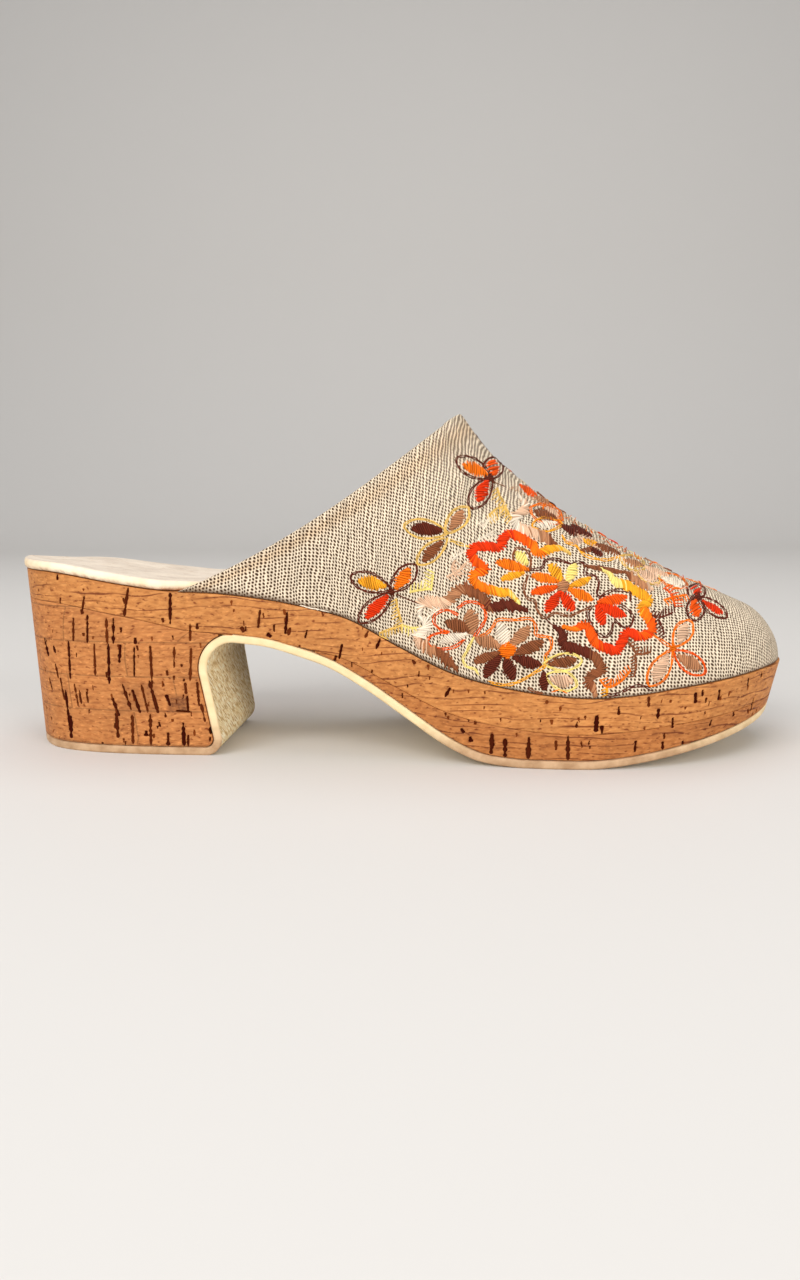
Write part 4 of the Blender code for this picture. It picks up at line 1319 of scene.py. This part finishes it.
class CorkWall:
    """Side wall of one cork piece: a grid of levels by ring points, with pores pressed into it."""

    def __init__(self, name, node, slot, material, points):
        self.name, self.node, self.slot, self.material = name, node, slot, material
        self.points = points
        self.levels, self.ring = points.shape[:2]
        run = np.roll(points, -1, axis=1) - np.roll(points, 1, axis=1)
        out = np.stack([run[..., 1], -run[..., 0], np.zeros(run.shape[:2])], axis=-1)
        self.out = unit(out)
        self.around = run_along(points[self.levels // 2])
        self.pore, self.tone, self.brown = np.zeros((3, self.levels, self.ring))
        flat = points.reshape(-1, 3)
        self.finder = KDTree(len(flat))
        for index, point in enumerate(flat.tolist()):
            self.finder.insert(point, index)
        self.finder.balance()

    def press(self, centre, along, half_long, half_wide, phase, tone):
        """Marks a pore: a stroke whose width wanders along it, dark for a tone of 1."""
        found = self.finder.find_range(Vector(centre), half_long + 2.0 * half_wide + PORE_MARGIN)
        if not found:
            return
        index = np.array([hit[1] for hit in found])
        away = np.array([hit[0] for hit in found]) - centre
        lengthwise = away @ along
        crosswise = np.linalg.norm(away - lengthwise[:, None] * along, axis=1)
        stops = np.linspace(-half_long - 1.0, half_long + 1.0, 60)
        wander = [noise.noise(Vector((0.9 * stop, 5.0 * phase, 0.0))) for stop in stops]
        width = half_wide * np.clip(1.0 + PORE_WANDER * np.interp(lengthwise, stops, wander), *PORE_WIDTHS)
        endwise = (np.abs(lengthwise) / (half_long + 0.1)) ** PORE_END_POWER
        reach = np.hypot(crosswise / (width + 0.08), endwise)
        level = np.clip((PORE_REACH - reach) / PORE_FADE, 0.0, 1.0)
        pore, tones = self.pore.reshape(-1), self.tone.reshape(-1)
        tones[index] = np.where(level > pore[index], tone, tones[index])
        pore[index] = np.maximum(pore[index], level)

    def stain(self, row):
        """Browns the cork in a soft box of the photograph, on the side that it shows."""
        away = np.abs(to_pixels(self.points) - (row.x, row.y)) / (row.half_wide, row.half_tall)
        level = np.clip((STAIN_REACH - away.max(axis=-1)) / STAIN_FADE, 0.0, 1.0)
        self.brown = np.maximum(self.brown, row.tone * level * (self.out[..., 1] < 0.0))

    def scatter(self, chance, area_each, longest, widest, only_hidden):
        """Random strokes, on the sides that the photograph hides or everywhere."""
        tall = np.linalg.norm(self.points[-1] - self.points[0], axis=-1).mean()
        for _ in range(int(self.around[-1] * tall / area_each)):
            ring = chance.randrange(self.ring)
            level = chance.randrange(self.levels)
            size = (chance.uniform(0.35, 1.0) * longest, chance.uniform(0.4, 1.0) * widest)
            tilt = chance.uniform(-0.2, 0.2)
            phase = chance.uniform(0.0, PORE_PHASES)
            tone = chance.uniform(0.3, 1.0)
            if only_hidden and self.out[level, ring, 1] < 0.1:
                continue
            tangent = np.array((-self.out[level, ring, 1], self.out[level, ring, 0], 0.0))
            along = unit(np.array((0.0, 0.0, 1.0)) + tilt * tangent)
            self.press(self.points[level, ring], along, *size, phase, tone)

    def build(self):
        """Closes the wall with its top and bottom and makes the piece."""
        points = self.points.copy()
        points -= self.out * (PORE_DEPTH * self.pore * self.tone)[..., None]
        for level in (0, -1):
            points[level] -= EDGE_ROUND * self.out[level]
        faces = grid_faces(self.levels, self.ring, closed=True)
        for first in (0, (self.levels - 1) * self.ring):
            for i in range(self.ring // 2 - 1):
                near, far = first + i, first + self.ring - 1 - i
                faces.append([near, near + 1, far - 1, far])
        around = np.broadcast_to(self.around, self.pore.shape)
        uv = np.stack([around, self.points[..., 2]], axis=-1)
        values = {"pore": self.pore, "tone": self.tone, "stain": self.brown}
        add_piece(self.name, points, faces, [self.material], uv, node=self.node, values=values,
                  sharp_angle=50.0)


def level_shares(height):
    """Levels of a cork wall: a thin step at each edge, even steps between."""
    count = max(int(height / CORK_GRID), 3)
    edge = min(EDGE_ROUND / height, 0.2)
    return np.concatenate([[0.0], np.linspace(edge, 1.0 - edge, count), [1.0]])


def layer_wall(start, low, top, height):
    """Wall grid of a full-width cork layer from a station to the toe: lateral side out, medial back."""
    lengths = [even_stations(side, start, LENGTH, 10)[1] for side in (-1, 1)]
    count = int(max(lengths) / CORK_GRID)
    lateral = even_stations(-1, start, LENGTH, count)[0]
    medial = even_stations(1, start, LENGTH, count)[0][::-1]
    stations = np.concatenate([lateral, medial])
    sides = np.concatenate([-np.ones(count + 1), np.ones(count + 1)])
    lows = low(stations)
    shares = level_shares(height)[:, None]
    return wall_point(sides[None, :], stations[None, :], lows + (top(stations) - lows) * shares)


def heel_wall():
    """Wall grid of the heel block: levels follow the breast, lateral side from the front to the back."""
    front = [(HEEL_FRONT - HEEL_CORNER_RADIUS, CORK_FLOOR)]
    for x, z in breast_path(0.0, 40)[1:]:
        if board_underside(x) - GAP - z >= FEATHER_EDGE:
            front.append((x, z))
    front.append((front[-1][0], float(board_underside(front[-1][0])) - GAP))
    front = np.array(front)
    run = run_along(front)
    shares = level_shares(run[-1])
    x_front, z_front = (np.interp(shares * run[-1], run, front[:, axis])[:, None] for axis in (0, 1))
    level = (z_front - CORK_FLOOR) / (board_underside(x_front) - GAP - CORK_FLOOR)
    z_back = CORK_FLOOR + level * (board_underside(0.0) - GAP - CORK_FLOOR)
    back = HEEL_RAKE * (1.0 - z_back / feather(0.0))
    count = int(even_stations(-1, 0.0, HEEL_FRONT, 10)[1] / CORK_GRID)
    stations = even_stations(-1, 0.0, HEEL_FRONT, count)[0]
    along = (stations / HEEL_FRONT)[::-1][None, :]
    x = back + (x_front - back) * along
    z = CORK_FLOOR + level * (board_underside(x) - GAP - CORK_FLOOR)
    lateral, medial = wall_edges(x, z)
    lateral[:, -1] = medial[:, -1] = 0.0
    one = np.stack([x, lateral, z], axis=-1)
    other = np.stack([x, medial, z], axis=-1)[:, ::-1]
    return np.concatenate([one, other], axis=1)[:, ::-1]


def cork_walls():
    """Side walls of the midsole, the heel and the platform, each in its own cork."""
    sheet = cork_finish("cork_sheet", screen(220, 150, 84), screen(200, 130, 68), screen(170, 102, 50), False)
    block = cork_finish("cork_blocks", screen(222, 148, 84), screen(204, 130, 70), screen(172, 100, 50), True)
    dark = cork_finish("cork_sheet_dark", screen(202, 132, 72), screen(184, 114, 57), screen(148, 84, 40),
                       False)
    start = PLATFORM_FROM * LENGTH
    while board_underside(start) - GAP - tread_curve(start) < FEATHER_EDGE:
        start += 0.5

    def midsole_low(station):
        return board_underside(station) - (GAP - CORK_SEAM)

    def platform_low(station):
        low = tread_curve(station)
        return tread_curve(station + (1.0 - low / feather(station)) * lean(station))

    def platform_top(station):
        return board_underside(station) - GAP

    midsole = layer_wall(0.0, midsole_low, feather, MIDSOLE_TALL)
    platform = layer_wall(start, platform_low, platform_top, PLATFORM_TALL)
    return [
        CorkWall("cork_midsole", "midsole", "cork", sheet, midsole),
        CorkWall("cork_heel", "heel", "cork", block, heel_wall()),
        CorkWall("cork_platform", "forefoot_platform", "dark_cork", dark, platform),
    ]


def press_strokes(walls, chance):
    """Presses the charted strokes into the cork that the photograph shows there."""
    trees = []
    for wall in walls:
        quads = grid_faces(wall.levels, wall.ring, closed=True)
        trees.append(BVHTree.FromPolygons(wall.points.reshape(-1, 3).tolist(), quads))

    def on_cork(pixel, other):
        """Nearest cork seen at a pixel, which slides towards another one until it meets some."""
        for slide in np.linspace(0.0, 0.9, 19):
            ray = Vector(pixel_rays((1.0 - slide) * np.array(pixel) + slide * np.array(other)))
            hits = [tree.ray_cast(Vector(EYE), ray) for tree in trees]
            hits = [hit for hit in hits if hit[0] is not None]
            if hits:
                return np.array(min(hits, key=lambda hit: hit[3])[0])
        return None

    for row in STROKES:
        high = (row.x, row.top)
        deep = (row.x + row.slant, row.bottom)
        ends = [on_cork(high, deep), on_cork(deep, high)]
        if ends[0] is None or ends[1] is None:
            continue
        centre = 0.5 * (ends[0] + ends[1])
        along = ends[1] - ends[0]
        half_long = 0.5 * np.linalg.norm(along)
        half_wide = STROKE_SHARE * row.width * np.linalg.norm(ends[0] - EYE) / FOCAL_PIXELS
        phase = chance.uniform(0.0, PORE_PHASES)
        tone = min(chance.uniform(*STROKE_TONES) + STROKE_TONE_GROWTH * row.width, 1.0)
        for wall in walls:
            wall.press(centre, unit(along), half_long, half_wide, phase, tone)


def make_cork():
    """Cork with its charted strokes and stains, and random strokes and specks besides."""
    walls = cork_walls()
    chance = random.Random(SEED)
    press_strokes(walls, chance)
    for wall in walls:
        for row in STAINS:
            wall.stain(row)
        wall.scatter(chance, area_each=42.0, longest=3.2, widest=0.42, only_hidden=True)
        wall.scatter(chance, area_each=55.0, longest=0.9, widest=0.28, only_hidden=False)
        wall.build()


OUTSOLE_COLUMNS = 72
# Noise of the rough face: points to a millimetre, how its layers weaken and get finer, and their number
ROUGH_SCALE = 0.8
ROUGH_LAYERS = (0.8, 2.2, 4)
# How much the place across and the height count in the arch's shade
ARCH_SHADE_ACROSS = 1.4
ARCH_SHADE_UP = 0.6


def outsole_lines():
    """Upper and lower line of the strip in side view, from the heel's back to the toe."""
    steps = 24
    top_path = breast_path(GAP, steps)
    low_path = breast_path(GAP + OUTSOLE_THICK, steps)
    along = 1.0 - np.cos(0.5 * math.pi * np.linspace(0.0, 1.0, 61))[:-1]
    heels = []
    for path in (top_path, low_path):
        back = HEEL_RAKE * (1.0 - path[0, 1] / feather(0.0))
        x = back + (path[0, 0] - back) * along
        heels.append(np.stack([x, np.full_like(x, path[0, 1])], axis=-1))
    crown = top_path[-1, 0]
    stations = crown + (LENGTH - crown) * np.sin(0.5 * math.pi * np.linspace(0.0, 1.0, 181))[1:]
    x = stations + (1.0 - tread_curve(stations) / feather(stations)) * lean(stations)
    upright = np.hypot(1.0, tread_curve(x + 0.5) - tread_curve(x - 0.5))
    fronts = []
    for depth in (GAP, GAP + OUTSOLE_THICK):
        z = tread_curve(x) - depth * upright
        fronts.append(np.stack([stations + (1.0 - z / feather(stations)) * lean(stations), z], axis=-1))
    top = np.concatenate([heels[0], top_path, fronts[0]])
    return top, np.concatenate([heels[1], low_path, fronts[1]])


def make_outsole():
    """Strip of even thickness along the cork's underside, rounded at its sides and rough underneath."""
    top, low = outsole_lines()
    # Share of the thickness, and how far the strip's side is set in there
    profile = [(0.0, 0.45), (0.14, 0.06), (0.3, 0.0), (0.7, 0.0), (0.86, 0.06), (1.0, 0.45)]
    lateral_lines = []
    medial_lines = []
    for depth, inset in profile:
        place = top + (low - top) * depth
        lateral, medial = wall_edges(place[:, 0], place[:, 1])
        inset = np.minimum(inset, 0.5 * (medial - lateral))
        lateral_lines.append(np.stack([place[:, 0], lateral + inset, place[:, 1]], axis=-1))
        medial_lines.append(np.stack([place[:, 0], medial - inset, place[:, 1]], axis=-1))
    shares = np.linspace(0.0, 1.0, OUTSOLE_COLUMNS)[1:-1]
    one, other = lateral_lines[-1], medial_lines[-1]
    face_lines = [one + (other - one) * share for share in shares]
    ring = np.stack(lateral_lines + face_lines + medial_lines[::-1], axis=1)
    edge_lines = np.zeros(len(profile))
    face = np.concatenate([edge_lines, np.ones(len(shares)), edge_lines])
    inwards = unit(top - low)
    rough = [[noise.fractal(Vector(point) * ROUGH_SCALE, *ROUGH_LAYERS) for point in row] for row in ring]
    rough = OUTSOLE_ROUGH * np.clip(0.5 + 0.6 * np.array(rough), 0.0, 1.0) * face
    ring[..., 0] += rough * inwards[:, :1]
    ring[..., 2] += rough * inwards[:, 1:]
    along = np.broadcast_to(run_along(low)[:, None], ring.shape[:2])
    y, z = ring[..., 1], ring[..., 2]
    # The shade deepens towards the inner side and upwards, where the arch closes in
    deep = ARCH_SHADE_ACROSS * y + ARCH_SHADE_UP * z - ARCH_SHADE_FROM
    values = {
        "face": face,
        "deep": np.clip(deep / ARCH_SHADE_RUN, 0.0, 1.0),
        "floor": np.clip((GRIME_TOP - z) / GRIME_RUN, 0.0, 1.0),
    }
    add_piece("outsole_strip", ring, grid_faces(*ring.shape[:2], closed=True),
              [outsole_finish()], np.stack([y + z, along], axis=-1), node="outsole", values=values,
              sharp_angle=50.0)


def make_insole():
    """Leather board with a full round rim, dished under the foot."""
    turns = np.linspace(0.0, 1.0, 161)
    reach = LENGTH - INSOLE_TOE_INSET + INSOLE_OVERHANG
    x = -INSOLE_OVERHANG + reach * share_of(turns)
    lateral, medial = edges(LENGTH * share_of(turns))
    middle = 0.5 * (lateral + medial)
    half = 0.5 * (medial - lateral)
    share = np.clip((x - INSOLE_NARROWS_FROM) / (INSOLE_NARROWS_TO - INSOLE_NARROWS_FROM), 0.0, 1.0)
    margin = INSOLE_OVERHANG - (INSOLE_OVERHANG + INSOLE_INSET) * share * share * (3.0 - 2.0 * share)
    widest_end = 20.0
    half = half * (1.0 + margin / np.maximum(half, widest_end))
    base = feather(np.clip(x, 0.0, LENGTH)) + GAP
    radius = 0.5 * (INSOLE_THICK - GAP)
    blunt = np.minimum(half / widest_end, 1.0)
    tilt = INSOLE_TILT * (1.0 - np.clip(x / INSOLE_TILT_END, 0.0, 1.0) ** 2) * blunt
    rim_angles = math.pi * (np.linspace(0.0, 1.0, 11) - 0.5)
    inner_shares = (0.9, 0.75, 0.6, 0.45, 0.3, 0.15)
    sides = {-1: [], 1: []}
    for side, lines in sides.items():
        rim = radius - 0.25 * tilt * (1.0 + side)
        edge = np.minimum(rim, 0.5 * half)
        for angle in rim_angles:
            out = half - edge + edge * math.cos(angle)
            lines.append(np.stack([x, middle + side * out, base + rim * (1.0 + math.sin(angle))], axis=-1))
        for inner in inner_shares:
            dish = INSOLE_DISH * (1.0 - inner * inner) * blunt
            top = 2.0 * radius - 0.5 * tilt * (1.0 + side * inner)
            y = middle + side * (half - edge) * inner
            lines.append(np.stack([x, y, base + top - dish], axis=-1))
    ring = np.stack(sides[-1] + sides[1][::-1], axis=1)
    flat = np.zeros(len(inner_shares))
    values = {}
    for name, level in (("rim", np.cos(rim_angles)), ("foot", np.clip(-np.sin(rim_angles), 0.0, 1.0))):
        half_ring = np.concatenate([level, flat])
        values[name] = np.concatenate([half_ring, half_ring[::-1]])
    add_piece("insole_leather", ring, grid_faces(*ring.shape[:2], closed=True),
              [insole_finish()], ring[..., :2], node="insole", values=values, sharp_angle=60.0)


# Soft lamps in metres, each with the point that it faces
Lamp = namedtuple("Lamp", "name place size power aim")
LAMPS = [
    Lamp("key", (-0.65, -1.0, 0.8), 1.0, 13.0, (-0.03, 0.0, 0.03)),
    Lamp("fill", (0.75, -0.9, 0.45), 0.6, 6.5, (0.0, 0.0, 0.03)),
    Lamp("top", (0.0, 0.2, 1.4), 1.4, 8.0, (0.0, 0.0, 0.0)),
]


def make_stage():
    """Plain pale floor that curves up into a backdrop, and soft light."""
    near, far, half_wide, tall, bend, steps = -2.5, 1.6, 3.0, 2.2, 0.5, 12
    profile = [(near, 0.0), (far - bend, 0.0)]
    for step in range(1, steps + 1):
        angle = 0.5 * math.pi * step / steps
        profile.append((far - bend + bend * math.sin(angle), bend - bend * math.cos(angle)))
    profile.append((far, tall))
    points = [(x, y, z) for y, z in profile for x in (-half_wide, half_wide)]
    mesh = bpy.data.meshes.new("floor")
    mesh.from_pydata(points, [], grid_faces(len(profile), 2))
    mesh.shade_smooth()
    finish = Finish("pale_floor", 0.7, 0.3)
    finish.paint(screen(216, 212, 207))
    mesh.materials.append(finish.material)
    floor = bpy.data.objects.new("floor", mesh)
    bpy.context.scene.collection.objects.link(floor)
    for row in LAMPS:
        data = bpy.data.lights.new(row.name, "AREA")
        data.size = row.size
        data.energy = row.power
        lamp = bpy.data.objects.new(row.name, data)
        lamp.location = row.place
        lamp.rotation_euler = (Vector(row.aim) - Vector(row.place)).to_track_quat("-Z", "Y").to_euler()
        bpy.context.scene.collection.objects.link(lamp)
    world = bpy.data.worlds.new("studio")
    world.use_nodes = True
    background = world.node_tree.nodes["Background"]
    background.inputs["Color"].default_value = (0.95, 0.97, 1.0, 1.0)
    background.inputs["Strength"].default_value = 0.45
    bpy.context.scene.world = world
    bpy.context.scene.view_settings.view_transform = "Standard"


make_camera()
make_stage()
UPPER_CLOTH = make_upper(linen_finish(), lining_finish())
embroider(UPPER_CLOTH)
make_cork()
make_outsole()
make_insole()
